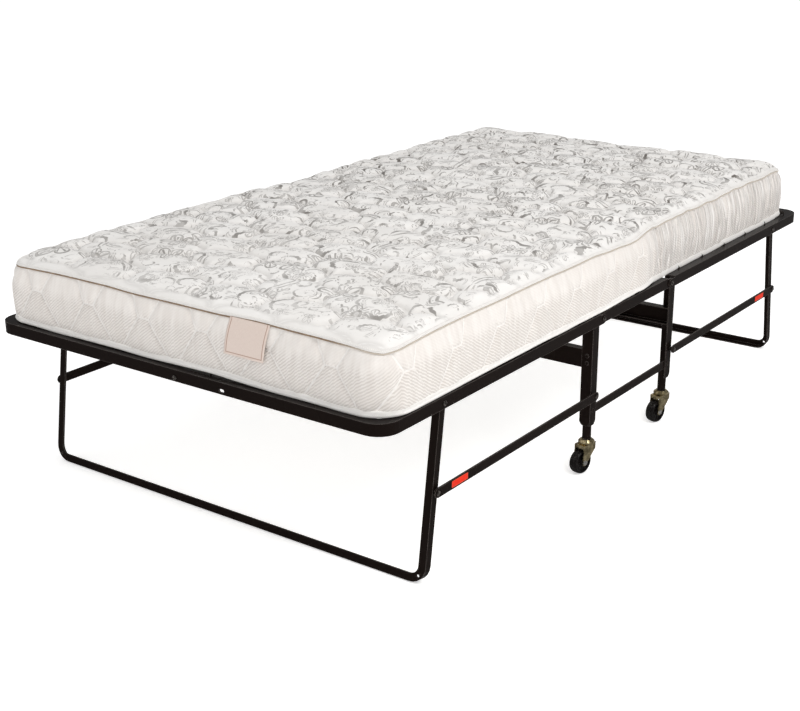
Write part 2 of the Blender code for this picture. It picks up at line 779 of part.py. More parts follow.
def fork_race(foot):
    """The ball race above the crown, and the pin that turns in the stem."""
    profile = [
        (0, FORK_TOP - 0.001),
        (RACE_RADIUS - 0.003, FORK_TOP - 0.001),
        (RACE_RADIUS, FORK_TOP + 0.002),
        (RACE_RADIUS, FORK_TOP + 0.005),
        (RACE_RADIUS - 0.005, RACE_TOP),
        (PIN_RADIUS, RACE_TOP),
        (PIN_RADIUS, PIN_TOP - 0.001),
        (PIN_RADIUS - 0.001, PIN_TOP),
        (0, PIN_TOP),
    ]
    return turned(profile, foot, Z_AXIS, 20)


def axle_bolt(hub, across):
    """A bolt through both fork plates, with its head and nut outside them."""
    face = FORK_OUTER + GAP
    head = 0.0062
    profile = [
        (0, -face - 0.0036),
        (head * 0.9, -face - 0.0036),
        (head, -face - 0.003),
        (head, -face),
        (AXLE_RADIUS, -face),
        (AXLE_RADIUS, face),
        (head, face),
        (head * 0.9, face + 0.002),
        (head * 0.4, face + 0.0032),
        (0, face + 0.0032),
    ]
    return turned(profile, hub, across)


def tread(hub, across):
    """A solid wheel with a rounded tread and a dished web."""
    w, r = WHEEL_HALF_WIDTH, WHEEL_RADIUS
    half = [(WHEEL_BORE, w), (0.009, w), (0.011, w - 0.003), (r - 0.005, w - 0.003), (r - 0.002, w - 0.001)]
    half.append((r, w * 0.6))
    profile = half + [(radius, -along) for radius, along in reversed(half)]
    return turned(profile, hub, across, WHEEL_STEPS, ring=True)


# Assembly

ENDS = (("near", -1), ("far", 1))
SIDES = (("right", 1), ("left", -1))


def centre_frame():
    for side_name, side in SIDES:
        centre_rail(f"centre_rail_{side_name}", side)
        lower_brace(f"lower_brace_{side_name}", side)
    for end_name, out in ENDS:
        crossbar(f"{end_name}_crossbar", out)
        for side_name, side in SIDES:
            upright(f"{end_name}_upright_{side_name}", side, out)
            caster_stem(f"{end_name}_stem_{side_name}", side, out)
            hinge = rivet_profile(HALF_WIDTH, LAYER_X - RAIL_THICK)
            rivet(f"{end_name}_hinge_rivet_{side_name}", side, out * HINGE_Y, PIVOT_HEIGHT, hinge, None)
            post = rivet_profile(LINK_OUTER_X, UPRIGHT_X - UPRIGHT_THICK, (UPRIGHT_X, LINK_INNER_X))
            rivet(f"{end_name}_post_rivet_{side_name}", side, out * LINK_START_Y, LINK_HEIGHT, post, None)
            caster(f"{end_name}_caster_{side_name}", side, out)
    deck("middle_deck", (-DECK_CENTRE_Y, DECK_CENTRE_Y), (DECK_BAR, DECK_BAR), DECK_CENTRE_ROWS)


def folding_end(end_name, out):
    fold = empty(f"{end_name}_fold_axis", (0, out * HINGE_Y, PIVOT_HEIGHT))
    leg_axis = empty(f"{end_name}_leg_axis", (0, out * LEG_PIVOT_Y, PIVOT_HEIGHT), fold)
    section_rail(f"{end_name}_rail", out, fold)
    reach, overhangs = (out * DECK_START_Y, out * DECK_END_Y), (DECK_BAR, DECK_OVERHANG)
    deck(f"{end_name}_deck", reach[::out], overhangs[::out], DECK_ROWS, fold)
    end_leg(f"{end_name}_leg", out, leg_axis)
    for side_name, side in SIDES:
        pivot = rivet_profile(HALF_WIDTH, LAYER_X - LEG_THICK)
        rivet(f"{end_name}_leg_rivet_{side_name}", side, out * LEG_PIVOT_Y, PIVOT_HEIGHT, pivot, fold)
        swing = empty(f"{end_name}_link_axis_{side_name}", (side * LINK_INNER_X, out * LINK_START_Y, LINK_HEIGHT))
        link_bar(f"{end_name}_link_{side_name}", side, out, swing)
        foot = rivet_profile(LINK_OUTER_X, LAYER_X - LEG_THICK, (LAYER_X, LINK_INNER_X))
        rivet(f"{end_name}_link_rivet_{side_name}", side, out * LINK_END_Y, LINK_HEIGHT, foot, swing)


def main():
    clear_scene()
    centre_frame()
    for end_name, out in ENDS:
        folding_end(end_name, out)
    latch_stud(bpy.data.objects["near_fold_axis"])
    mattress()


main()
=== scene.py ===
"""Looks of the folding cot: its mattress, wire decks, casters and finishes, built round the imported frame."""

import json
import math

import bpy
import numpy as np
from mathutils import Matrix, Vector
from mathutils.bvhtree import BVHTree


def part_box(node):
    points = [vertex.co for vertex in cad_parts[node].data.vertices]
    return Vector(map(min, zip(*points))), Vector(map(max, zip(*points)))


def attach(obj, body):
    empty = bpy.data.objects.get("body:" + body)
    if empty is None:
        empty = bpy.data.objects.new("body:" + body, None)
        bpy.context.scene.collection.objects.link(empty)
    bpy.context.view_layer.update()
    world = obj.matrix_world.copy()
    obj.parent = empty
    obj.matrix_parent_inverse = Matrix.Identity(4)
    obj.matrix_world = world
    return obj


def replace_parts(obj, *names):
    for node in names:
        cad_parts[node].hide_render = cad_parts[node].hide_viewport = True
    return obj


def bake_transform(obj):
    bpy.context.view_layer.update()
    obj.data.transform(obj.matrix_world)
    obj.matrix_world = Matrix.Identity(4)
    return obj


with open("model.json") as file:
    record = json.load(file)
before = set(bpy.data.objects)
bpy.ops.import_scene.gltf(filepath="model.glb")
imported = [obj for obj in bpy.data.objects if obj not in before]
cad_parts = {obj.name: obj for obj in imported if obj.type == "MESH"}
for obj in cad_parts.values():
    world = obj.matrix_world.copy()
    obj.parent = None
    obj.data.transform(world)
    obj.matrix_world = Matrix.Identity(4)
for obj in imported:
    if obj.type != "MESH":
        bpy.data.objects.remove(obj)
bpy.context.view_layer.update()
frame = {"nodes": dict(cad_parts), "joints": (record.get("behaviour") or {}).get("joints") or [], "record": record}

NEAR, FAR = -1, 1
END_NAMES = {NEAR: "near", FAR: "far"}
SIDE_NAMES = {1: "right", -1: "left"}

# Mattress plan: half width at the seam, the run from the middle to each end, and the corners
SEAM_HALF_WIDTH = 0.4765
END_RUN = {NEAR: 0.886, FAR: 0.866}
CORNER_RADIUS = 0.050
FAR_NARROWING = 0.0170

# Mattress mesh: the step along the bed, columns across the top and the underside, and rows down the wall
STEP = 0.004
ACROSS = 240
BOTTOM_COLUMNS = 8
WALL_ROWS = 40

# Mattress heights
SEAM_HEIGHT = 0.474
BOTTOM_HEIGHT = 0.3535
BOTTOM_SAG = 0.0024
MIDDLE_DIP = 0.0085
EDGE_RISE, EDGE_ROUNDING, EDGE_PULL = 0.0115, 0.011, 0.0009
CROWN_RISE = 0.0060
TOP_WAVES = 0.0020
FOLD_DIPS, FOLD_DIP_WIDTH, FOLD_DIP_DEPTH = (-0.12, 0.13), 0.045, 0.0030
# The seam's own rises and dips, how far in from the edge they reach, and how low the corners are
SEAM_WAVES, SEAM_RIPPLES, SEAM_REACH = 0.0022, 0.0018, 0.055
CORNER_DIP, CORNER_REACH, NEAR_SEAM_DROP = 0.005, 0.06, 0.002

# Side wall: shoulder under the seam, and how far it stands out in the middle
SHOULDER = 0.0115
WALL_BULGE = 0.0025
# Its small shapes: puffs between the stitching, pleats under the seam, slow waves, folds at corners and label
WALL_PUFF, WALL_PLEATS, WALL_WAVES = 0.0022, 0.0007, 0.0010
CORNER_FOLDS, LABEL_FOLD = 0.0026, 0.0016

# Top quilting: wavy crossed channels
QUILT_PITCH = 0.165
QUILT_WAVE = 0.13
QUILT_DRIFT = 0.010
QUILT_DEPTH = 0.0114
CHANNEL_WIDTH = 0.0070
PLAIN_MARGIN = 0.018
PUFF_REACH, PUCKER_HEIGHT, WRINKLE_HEIGHT = 0.024, 0.00125, 0.0006
# The woven pattern and the quilting come this many times closer to the seam along the sides than at the ends
PATTERN_SIDE_CLOSENESS = 2.2
QUILT_SIDE_CLOSENESS = 1.35

# Side quilting: hourglass outlines, measured up from the wall's bottom edge
HOURGLASS_TOP = 0.110
HOURGLASS_NECK = 0.074
HOURGLASS_NECK_HALF = 0.0125
HOURGLASS_TOP_HALF = 0.0325
HOURGLASS_FOOT_HALF = 0.060
HOURGLASS_FOOT = 0.006
HOURGLASS_PITCH = 0.1425
UPPER_SLOPE = (HOURGLASS_TOP_HALF - HOURGLASS_NECK_HALF) / (HOURGLASS_TOP - HOURGLASS_NECK)
LOWER_SLOPE = (HOURGLASS_FOOT_HALF - HOURGLASS_NECK_HALF) / (HOURGLASS_NECK - HOURGLASS_FOOT)
SLOPE_COSINE = 0.84
GROOVE_DEPTH = 0.0042
GROOVE_WIDTH = 0.0050
# Runs round the near half's edge to the middles of four necks, which necks they are, and the pitches round
# the far half's edge
NECK_RUNS = (0.831, 0.972, 1.722, 1.869)
NECK_PHASES = (3, 2, -3, -4)
FAR_PITCHES = 18.158
# The stitching fades over this stretch of the far half, where gathers take over
GATHERS_START, GATHERS_FULL = 0.02, 0.20
# On the right wall one of the two mirrored stitch lines is slack, from here on
SLACK_START, SLACK_FULL = -0.86, -0.80
SLACK_SIDE, TAUT_SIDE = -0.0008, 0.0002

# The side knit's ribs: their pitch, and how they slant. The right side, which is the first stretch of each
# half's edge, has a slant of its own
RIB_PITCH = 0.0047
RIB_ACROSS, RIB_UP = -0.62, 0.78
RIGHT_RIB_ACROSS, RIGHT_SIDE_RUN = 0.50, 0.852

# Where the spring hooks pass over the rail, and how they lift the mattress's edge there
HOOK_ROWS = [0.231 + 0.12452 * k for k in range(6)]
MIDDLE_HOOK_ROWS = (-0.089, 0.0, 0.089)
HOOK_LIFT = 0.0014

# Vertical gathers all round the far half
GATHER_DEPTH = 0.0034

# How far the lower wall pushes out over the right-hand rail at the fold
FOLD_SLUMP = 0.0060

# Edge trims
PIPING_RADIUS = 0.0031
CORD_RADIUS = 0.0014
TAPE_HEIGHT = 0.0112

# The blank label and stickers
LABEL_SIZE = (0.094, 0.068)
LABEL_BORDER_INSET = 0.0050
STICKER_SIZE = (0.052, 0.013)

# Camera: lens in millimetres, and angles in degrees
CAMERA_LENS = 62.81
CAMERA_PLACE = (1.7761, -2.6111, 1.2364)
CAMERA_YAW = 36.332
CAMERA_PITCH = 19.631
CAMERA_ROLL = -0.328


# ---------------------------------------------------------------- materials


class Value:
    """An output of one of a shader's nodes. Arithmetic on it adds Math nodes."""

    def __init__(self, shader, socket):
        self.shader, self.socket = shader, socket

    def op(self, operation, other=0.0):
        return self.shader.math(operation, self, other)

    def __add__(self, other):
        return self.op("ADD", other)

    def __radd__(self, other):
        return self.shader.math("ADD", other, self)

    def __sub__(self, other):
        return self.op("SUBTRACT", other)

    def __rsub__(self, other):
        return self.shader.math("SUBTRACT", other, self)

    def __mul__(self, other):
        return self.op("MULTIPLY", other)

    def __truediv__(self, other):
        return self.op("DIVIDE", other)

    def __abs__(self):
        return self.op("ABSOLUTE")

    def beside(self, output):
        """Another output of the same node."""
        return Value(self.shader, self.socket.node.outputs[output])


def most(a, b):
    return a.op("MAXIMUM", b) if isinstance(a, Value) else np.maximum(a, b)


def least(a, b):
    return a.op("MINIMUM", b) if isinstance(a, Value) else np.minimum(a, b)


class Shader:
    """A material's node tree, with short calls for the nodes used here."""

    def __init__(self, name, colour, roughness, metallic=0.0):
        self.material = bpy.data.materials.new(name)
        self.material.use_nodes = True
        self.material.diffuse_color = (*colour, 1.0)
        self.tree = self.material.node_tree
        self.surface = self.tree.nodes["Principled BSDF"]
        self.feed("Base Color", (*colour, 1.0))
        self.feed("Roughness", roughness)
        self.feed("Metallic", metallic)

    def feed(self, socket, value):
        """Sets or links one of the surface's inputs."""
        self.join(self.surface.inputs[socket], value)

    def join(self, socket, value):
        if isinstance(value, Value):
            self.tree.links.new(value.socket, socket)
        else:
            socket.default_value = value

    def node(self, kind, output=0, inputs=None, **settings):
        """Adds a node and returns one of its outputs."""
        made = self.tree.nodes.new(kind)
        for name, value in settings.items():
            setattr(made, name, value)
        for key, value in (inputs or {}).items():
            self.join(made.inputs[key], value)
        return Value(self, made.outputs[output])

    def math(self, operation, a, b=0.0):
        return self.node("ShaderNodeMath", 0, {0: a, 1: b, 2: 0.0}, operation=operation)

    def vector(self, operation, a, b=(0.0, 0.0, 0.0), output=0):
        return self.node("ShaderNodeVectorMath", output, {0: a, 1: b}, operation=operation)

    def split(self, vector):
        """A vector's three parts."""
        first = self.node("ShaderNodeSeparateXYZ", 0, {0: vector})
        return first, first.beside(1), first.beside(2)

    def noise(self, place, scale, detail=2.0, rough=0.5, distortion=0.0, output=0):
        """Noise. A scale of three numbers stretches it."""
        if isinstance(scale, tuple):
            place, scale = self.vector("MULTIPLY", place, scale), 1.0
        inputs = {"Vector": place, "Scale": scale, "Detail": detail, "Roughness": rough}
        return self.node("ShaderNodeTexNoise", output, {**inputs, "Distortion": distortion})

    def ramp(self, value, low, high, to_low=0.0, to_high=1.0, smooth=True):
        """value, mapped from low..high to to_low..to_high and clamped."""
        kind = "SMOOTHSTEP" if smooth else "LINEAR"
        inputs = {0: value, 1: low, 2: high, 3: to_low, 4: to_high}
        return self.node("ShaderNodeMapRange", 0, inputs, interpolation_type=kind)

    def mix(self, factor, a, b):
        """Colour a at factor 0 and colour b at factor 1."""
        a, b = ((*value, 1.0) if isinstance(value, tuple) else value for value in (a, b))
        return self.node("ShaderNodeMix", 2, {0: factor, 6: a, 7: b}, data_type="RGBA")

    def choose(self, factor, a, b):
        """Number a at factor 0 and number b at factor 1."""
        return self.node("ShaderNodeMix", 0, {0: factor, 2: a, 3: b})

    def bump(self, height, distance, strength=1.0, normal=None):
        inputs = {"Height": height, "Distance": distance, "Strength": strength}
        if normal is not None:
            inputs["Normal"] = normal
        return self.node("ShaderNodeBump", 0, inputs)

    def rest_place(self):
        """Object coordinates of a rigid piece."""
        return self.node("ShaderNodeTexCoord", "Object")

    def cloth_place(self):
        """The cloth's own flat coordinates in metres, which the mattress meshes carry."""
        return self.node("ShaderNodeAttribute", "Vector", attribute_name="cloth")


def enamel():
    """Near-black brown enamel, with orange peel, a trace of dust, and lighter rounded edges that are partly rubbed
    wear and partly a painted highlight.
    """
    s = Shader("frame_enamel", (0.0040, 0.0030, 0.0027), 0.34)
    place = s.rest_place()
    speckle = s.noise(place, 420.0, 3.0)
    cloud = s.noise(place, 5.0)
    dust = s.ramp(s.noise(place, 170.0, 5.0, 0.7), 0.56, 0.74, 0.0, 0.08)
    rounded = s.node("ShaderNodeBevel", 0, {"Radius": 0.0016}, samples=4)
    turned = s.vector("DOT_PRODUCT", rounded, s.node("ShaderNodeNewGeometry", "True Normal"), output=1)
    patchy = s.ramp(s.noise(place, 60.0, 4.0, 0.7), 0.30, 0.60, 0.45, 1.0)
    # Lighter rounded edges in patches: partly rubbed wear, partly a painted highlight along the edges
    wear_and_highlight = s.ramp(turned, 0.82, 0.99, 1.0, 0.0) * patchy
    base = s.mix(cloud, (0.0074, 0.0050, 0.0043), (0.0094, 0.0063, 0.0053))
    dusty = s.mix(dust, base, (0.030, 0.026, 0.023))
    s.feed("Base Color", s.mix(wear_and_highlight * 0.55, dusty, (0.24, 0.215, 0.20)))
    s.feed("Roughness", s.ramp(cloud, 0.3, 0.75, 0.22, 0.31))
    s.feed("Normal", s.bump(speckle, 0.00010, 0.3))
    s.feed("Specular IOR Level", 0.05)
    s.feed("Specular Tint", (1.0, 0.84, 0.78, 1.0))
    return s.material


def plated(name, dark, light, roughness, scale):
    """Plated steel: drawn streaks, a mottled tone and fine scratches."""
    s = Shader(name, light, roughness, 1.0)
    place = s.rest_place()
    mottle = s.noise(place, scale, 5.0, 0.62)
    streaks = s.noise(place, (scale * 3, scale * 0.4, scale * 3), 3.0)
    scratch = s.noise(place, 900.0)
    s.feed("Base Color", s.mix(s.ramp(mottle, 0.35, 0.68), dark, light))
    s.feed("Roughness", s.ramp(streaks, 0.3, 0.7, roughness - 0.08, roughness + 0.12))
    s.feed("Normal", s.bump(scratch, 0.00008, 0.4))
    return s.material


def wheel_plastic():
    """Black moulded wheel with a slightly dusty tread."""
    s = Shader("wheel_black", (0.012, 0.012, 0.013), 0.42)
    place = s.rest_place()
    dust = s.ramp(s.noise(place, 130.0, 4.0, 0.65), 0.48, 0.72)
    s.feed("Base Color", s.mix(dust * 0.35, (0.0046, 0.0036, 0.0033), (0.026, 0.021, 0.019)))
    s.feed("Roughness", s.ramp(dust, 0.0, 1.0, 0.26, 0.55))
    s.feed("Normal", s.bump(s.noise(place, 700.0), 0.0001, 0.4))
    s.feed("Specular IOR Level", 0.22)
    return s.material


def cell_motif(s, place, cell, seed):
    """Splits the plane into irregular cells. Returns each cell's own turned coordinates and two chances."""
    shifted = s.vector("ADD", place, (seed * 0.37, seed * 0.61, 0.0))
    inputs = {"Vector": shifted, "Scale": 1.0 / cell, "Randomness": 0.80}
    colour = s.node("ShaderNodeTexVoronoi", "Color", inputs, voronoi_dimensions="2D")
    chance = s.node("ShaderNodeSeparateColor", 0, {0: colour})
    local = s.vector("SUBTRACT", shifted, colour.beside("Position"))
    local = s.vector("MULTIPLY", local, (1 / cell, 1 / cell, 0.0))
    inputs = {"Vector": local, "Angle": chance * math.tau}
    local = s.node("ShaderNodeVectorRotate", 0, inputs, rotation_type="Z_AXIS")
    return local, chance.beside(1), chance.beside(2)


def scroll_layer(s, place, cell, seed, twist, thickness):
    """Scrolls, leaves and flowers, one to each cell, drawn in tapered strokes. Returns (cover, ink) masks."""
    local, kind, size = cell_motif(s, place, cell, seed)
    across, along, _ = s.split(local)
    radius = s.vector("LENGTH", local, output=1) / s.ramp(size, 0.0, 1.0, 0.82, 1.20, smooth=False)
    angle = along.op("ARCTAN2", across)

    # A scroll: a band that winds inward, thick on one side and thin on the other, with a notched edge
    wound = radius * twist + angle / math.tau
    band = abs(wound.op("FRACT") - 0.5)
    swell = s.ramp((angle + kind * 9.0).op("SINE"), -0.5, 1.0, 0.012, thickness)
    notch = (angle * 15.0 + radius * 26.0).op("SINE")
    scroll = swell - band + notch * 0.028

    # A flower: an outline of five petals, an inner ring and short veins
    rim = 0.20 + abs((angle * 2.5).op("COSINE")) * 0.25
    outline = 0.036 - abs(rim - radius)
    ring = 0.040 - abs(radius - 0.10)
    veins = (angle * 15.0).op("COSINE") * 0.06 - 0.030
    flower = most(most(outline, ring), least(veins, rim - radius - 0.05))

    # A spray of leaves: bowed strokes side by side inside a lens
    bow = across * across * 0.9
    stem = along + bow
    stripes = abs((stem * 6.2).op("FRACT") - 0.5)
    leaf = least(0.20 - (abs(stem) + bow), (0.20 - stripes) * 0.30)

    shape = s.choose(kind.op("GREATER_THAN", 0.56), scroll, leaf)
    shape = s.choose(kind.op("GREATER_THAN", 0.74), shape, flower)
    inside = s.ramp(radius, 0.50, 0.58, 1.0, 0.0)
    body = s.ramp(shape, -0.004, 0.030) * inside
    edge = s.ramp(abs(shape - 0.012), 0.004, 0.022, 1.0, 0.0) * inside
    tone = s.ramp((angle * 3.0 + size * 20.0).op("SINE"), -0.8, 0.8, 0.58, 0.95)
    return s.ramp(shape, -0.09, -0.02), most(body * tone, edge * 0.72)


def over(under, cover, upper):
    """Ink under, cleared where cover lies, with upper laid on it."""
    return most(under * (1.0 - cover * 0.92), upper)


def damask():
    """The top panel's white ticking, with woven grey scrolls, leaves and flowers, its quilting thread, and painted
    shade in the hollows beside the quilting channels.
    """
    s = Shader("mattress_damask", (0.86, 0.85, 0.83), 0.62)
    place = s.cloth_place()
    bent = place
    for scale, detail, reach in ((6.0, 1.0, 0.04), (19.0, 0.0, 0.016)):
        sway = s.vector("SUBTRACT", s.noise(place, scale, detail, output=1), (0.5, 0.5, 0.5))
        bent = s.vector("ADD", bent, s.vector("MULTIPLY", sway, (reach, reach, 0.0)))

    large_cover, large = scroll_layer(s, bent, 0.082, 1.0, 2.1, 0.120)
    small_cover, small = scroll_layer(s, bent, 0.050, 2.0, 1.9, 0.135)
    tiny = scroll_layer(s, bent, 0.030, 3.0, 1.6, 0.160)[1]

    _, y, from_edge = s.split(place)
    margin = s.ramp(from_edge, PLAIN_MARGIN * 0.9, PLAIN_MARGIN * 1.7)
    weave = s.noise(place, (1500.0, 420.0, 0.0))
    patches = s.noise(place, 9.0)
    density = s.ramp(patches, 0.32, 0.54, 0.70, 1.0) * s.ramp(y, -0.75, 0.25, 0.92, 1.20)
    fine = s.ramp(patches, 0.42, 0.62, 0.92, 0.50)
    ink = over(over(tiny * fine, small_cover, small * 0.85), large_cover, large)
    ink = ink * s.ramp(weave, 0.2, 0.8, 0.70, 1.0) * margin * density

    gap = s.node("ShaderNodeAttribute", "Fac", attribute_name="quilt_gap")
    thread = s.ramp(gap, 0.0008, 0.0026, 1.0, 0.0) * 0.55
    # Painted shade: the ground darkens in the hollows beside the quilting channels
    painted_hollow_shade = s.ramp(gap, 0.0010, 0.0130, 1.0, 0.0) * 0.27
    ground = s.mix(s.ramp(s.noise(place, 5.0, 3.0), 0.3, 0.7), (0.875, 0.855, 0.830), (0.93, 0.915, 0.895))
    inked = s.mix(ink * 0.98, ground, (0.115, 0.098, 0.083))
    inked = s.mix(painted_hollow_shade, inked, (0.50, 0.48, 0.46))
    s.feed("Base Color", s.mix(thread, inked, (0.95, 0.94, 0.92)))
    s.feed("Roughness", s.ramp(ink, 0.0, 0.6, 0.62, 0.44))
    s.feed("Normal", s.bump(ink * 0.8 + weave * 0.35, 0.0006, 0.55))
    s.feed("Sheen Weight", 0.12)
    s.feed("Sheen Roughness", 0.5)
    return s.material


def stitch_distance(offset, height):
    """Distance to the stitching, for arrays and shader values. offset is in pitches from a neck's middle."""
    cell = abs(offset) * HOURGLASS_PITCH
    slopes = most((height - HOURGLASS_NECK) * UPPER_SLOPE, (HOURGLASS_NECK - height) * LOWER_SLOPE)
    sloping = abs(cell - (slopes + HOURGLASS_NECK_HALF)) * SLOPE_COSINE
    return least(sloping, most(abs(height - HOURGLASS_NECK), cell - HOURGLASS_NECK_HALF))


def border_ticking():
    """The side walls' white knit: fine slanting ribs that fade out under the seam, stitching, and gathers with
    painted shade in their folds and a painted highlight on their crests.
    """
    s = Shader("mattress_border", (0.78, 0.75, 0.72), 0.7)
    place = s.cloth_place()
    run, height, phase = s.split(place)
    offset = phase - phase.op("ROUND")
    cloud = s.noise(place, 14.0, 3.0)

    on_right = abs(run).op("LESS_THAN", RIGHT_SIDE_RUN)
    across = run * s.ramp(on_right, 0.0, 1.0, RIB_ACROSS, RIGHT_RIB_ACROSS, smooth=False)
    wobble = s.noise(place, 30.0) * 0.004
    slant = (across + height * RIB_UP + wobble) / (RIB_PITCH / math.tau)
    fade = s.ramp(height + cloud * 0.03, 0.078, 0.108, 1.0, 0.12)
    rib = (0.5 + slant.op("SINE") * 0.5) * fade

    thread = s.ramp(stitch_distance(offset, height), 0.0009, 0.0022, 1.0, 0.0)
    turn = offset * (height - HOURGLASS_NECK)
    slack = s.ramp(turn, SLACK_SIDE, TAUT_SIDE, 1.0, 0.0) * s.ramp(run, SLACK_START, SLACK_FULL)
    quilted = s.ramp(run, GATHERS_START, GATHERS_FULL, 0.75, 0.12) * (1.0 - slack * 0.75)

    gathered = s.ramp(run, 0.03, 0.14) * s.ramp(height, 0.004, 0.030)
    gathers = s.ramp(s.noise(place, (150.0, 6.0, 0.0), 2.0, 0.55, 0.35), 0.30, 0.70)
    ground = s.mix(s.ramp(cloud, 0.3, 0.7), (0.79, 0.745, 0.705), (0.85, 0.812, 0.775))
    shade = s.mix(rib * 0.55, ground, (0.46, 0.415, 0.38))
    # Painted shade in the gathers' folds
    shade = s.mix(s.ramp(gathers, 0.0, 0.42, 0.36, 0.0) * gathered, shade, (0.50, 0.445, 0.41))
    # Painted highlight on the gathers' crests
    shade = s.mix(s.ramp(gathers, 0.60, 1.0, 0.0, 0.55) * gathered, shade, (0.93, 0.91, 0.89))
    s.feed("Base Color", s.mix(thread * quilted, shade, (0.93, 0.905, 0.875)))
    s.feed("Roughness", s.ramp(rib, 0.0, 1.0, 0.62, 0.78))
    grain = s.noise(place, (900.0, 900.0, 0.0))
    normal = s.bump(grain * 0.25 - rib * 0.9, 0.0007, 0.7)
    normal = s.bump(gathers * gathered, 0.0050, 1.0, normal)
    s.feed("Normal", s.bump(thread, 0.0006, 0.6, normal))
    s.feed("Sheen Weight", 0.15)
    return s.material


def plain_ticking():
    """The underside: plain calico with a fine weave and thin grey stripes."""
    s = Shader("mattress_underside", (0.74, 0.72, 0.69), 0.8)
    place = s.cloth_place()
    weave = s.noise(place, (1300.0, 90.0, 0.0)) + s.noise(place, (90.0, 1300.0, 0.0))
    stripe = (s.split(place)[0] * 190.0).op("SINE")
    tone = s.mix(s.ramp(weave, 0.8, 1.25), (0.70, 0.68, 0.65), (0.78, 0.765, 0.74))
    s.feed("Base Color", s.mix(s.ramp(stripe, 0.82, 0.95, 0.0, 0.35), tone, (0.52, 0.52, 0.53)))
    s.feed("Normal", s.bump(weave, 0.0005, 0.6))
    return s.material


def trim(name, light, dark, pitch, lit_right_side=None):
    """Woven tape or cord, with thread ridges along its run. Its right side may be given a paler colour, a painted
    lit copy of its colour.
    """
    s = Shader(name, light, 0.68)
    place = s.cloth_place()
    run, round_it, _ = s.split(place)
    ridge = ((run + round_it * 0.6) * (math.tau / pitch)).op("SINE")
    colour = s.mix(s.ramp(ridge * 0.25 + s.noise(place, 60.0, 3.0), 0.15, 0.85), dark, light)
    # Painted light: the right side takes a paler copy of the colour, as if lit
    if lit_right_side:
        colour = s.mix(s.ramp(run, 0.90, 0.99, 1.0, 0.0), colour, lit_right_side)
    s.feed("Base Color", colour)
    s.feed("Normal", s.bump(ridge, 0.0003, 0.5))
    s.feed("Sheen Weight", 0.15)
    return s.material


def label_cloth():
    """The blank sewn label: cream satin with a thin printed border down its sides and along its foot."""
    s = Shader("label_satin", (0.72, 0.60, 0.53), 0.5)
    place = s.cloth_place()
    across, up, _ = s.split(place)
    inset = least(least(across, LABEL_SIZE[0] - across), up)
    border = s.ramp(abs(inset - LABEL_BORDER_INSET), 0.0006, 0.0011, 1.0, 0.0)
    satin = s.noise(place, (1500.0, 200.0, 0.0))
    tone = s.mix(s.ramp(satin, 0.3, 0.7), (0.70, 0.585, 0.52), (0.755, 0.64, 0.575))
    s.feed("Base Color", s.mix(border * 0.75, tone, (0.33, 0.16, 0.10)))
    s.feed("Normal", s.bump(satin, 0.0003, 0.5))
    return s.material


def sticker_film():
    """A blank orange-red sticker with a paler rim."""
    s = Shader("sticker_film", (0.62, 0.06, 0.015), 0.4)
    place = s.cloth_place()
    across, up, _ = s.split(place)
    inset = least(least(across, STICKER_SIZE[0] - across), least(up, STICKER_SIZE[1] - up))
    rim = s.ramp(inset + s.noise(place, 500.0) * 0.0008, 0.0010, 0.0018, 1.0, 0.0)
    tone = s.mix(s.ramp(s.noise(place, 120.0, 3.0), 0.3, 0.7), (0.74, 0.016, 0.003), (0.80, 0.030, 0.006))
    s.feed("Base Color", s.mix(rim * 0.6, tone, (0.70, 0.16, 0.09)))
    s.feed("Roughness", s.ramp(s.noise(place, 300.0), 0.3, 0.7, 0.32, 0.5))
    s.feed("Specular IOR Level", 0.12)
    return s.material


def pale_floor():
    """A pale floor that reflections see as darker than the camera does."""
    s = Shader("studio_floor", (0.92, 0.92, 0.92), 0.85)
    s.feed("Emission Color", (1.0, 1.0, 1.0, 1.0))
    pale = s.mix(s.noise(s.rest_place(), 40.0, 3.0), (0.915, 0.915, 0.915), (0.935, 0.935, 0.935))
    reflected = s.node("ShaderNodeLightPath", "Is Glossy Ray")
    s.feed("Base Color", s.mix(reflected, pale, (0.36, 0.36, 0.36)))
    s.feed("Emission Strength", s.ramp(reflected, 0.0, 1.0, 0.50, 0.0, smooth=False))
    return s.material


# ---------------------------------------------------------------- mesh helpers


def mesh_object(name, points, faces, material, smooth_angle=40.0):
    """A new object in the scene, shaded smooth but for edges sharper than smooth_angle degrees."""
    mesh = bpy.data.meshes.new(name)
    mesh.from_pydata([tuple(p) for p in points], [], faces)
    mesh.materials.append(material)
    mesh.shade_smooth()
    mesh.set_sharp_from_angle(angle=math.radians(smooth_angle))
    piece = bpy.data.objects.new(name, mesh)
    bpy.context.scene.collection.objects.link(piece)
    return piece


def set_cloth_place(mesh, places, corners=None):
    """Stores the flat cloth coordinates, given for each point, or for each face corner in corners."""
    if corners is None:
        corner_points = np.zeros(len(mesh.loops), np.int32)
        mesh.loops.foreach_get("vertex_index", corner_points)
        corners = np.asarray(places)[corner_points]
    attribute = mesh.attributes.new("cloth", "FLOAT_VECTOR", "CORNER")
    attribute.data.foreach_set("vector", np.asarray(corners, np.float32).ravel())


def film_shares(cells):
    """The cell corners of a film, row by row, as shares of its width and height."""
    columns, rows = cells
    return [(i / columns, j / rows) for j in range(rows + 1) for i in range(columns + 1)]


def thin_film(name, points, places, cells, material, thickness, facing=1):
    """A sheet of a few columns and rows of cells, given a thickness. facing -1 turns its faces round."""
    columns, rows = cells
    corner = np.array([0, 1, columns + 2, columns + 1])
    starts = [j * (columns + 1) + i for j in range(rows) for i in range(columns)]
    faces = [(start + (corner if facing > 0 else corner[[0, 3, 2, 1]])).tolist() for start in starts]
    piece = mesh_object(name, points, faces, material)
    set_cloth_place(piece.data, places)
    solid = piece.modifiers.new("Thickness", "SOLIDIFY")
    solid.thickness = thickness
    solid.offset = 0.0
    return piece


def lengths_along(path):
    """The distance along a path to each of its points."""
    return np.concatenate([[0.0], np.cumsum(np.linalg.norm(np.diff(path, axis=0), axis=1))])


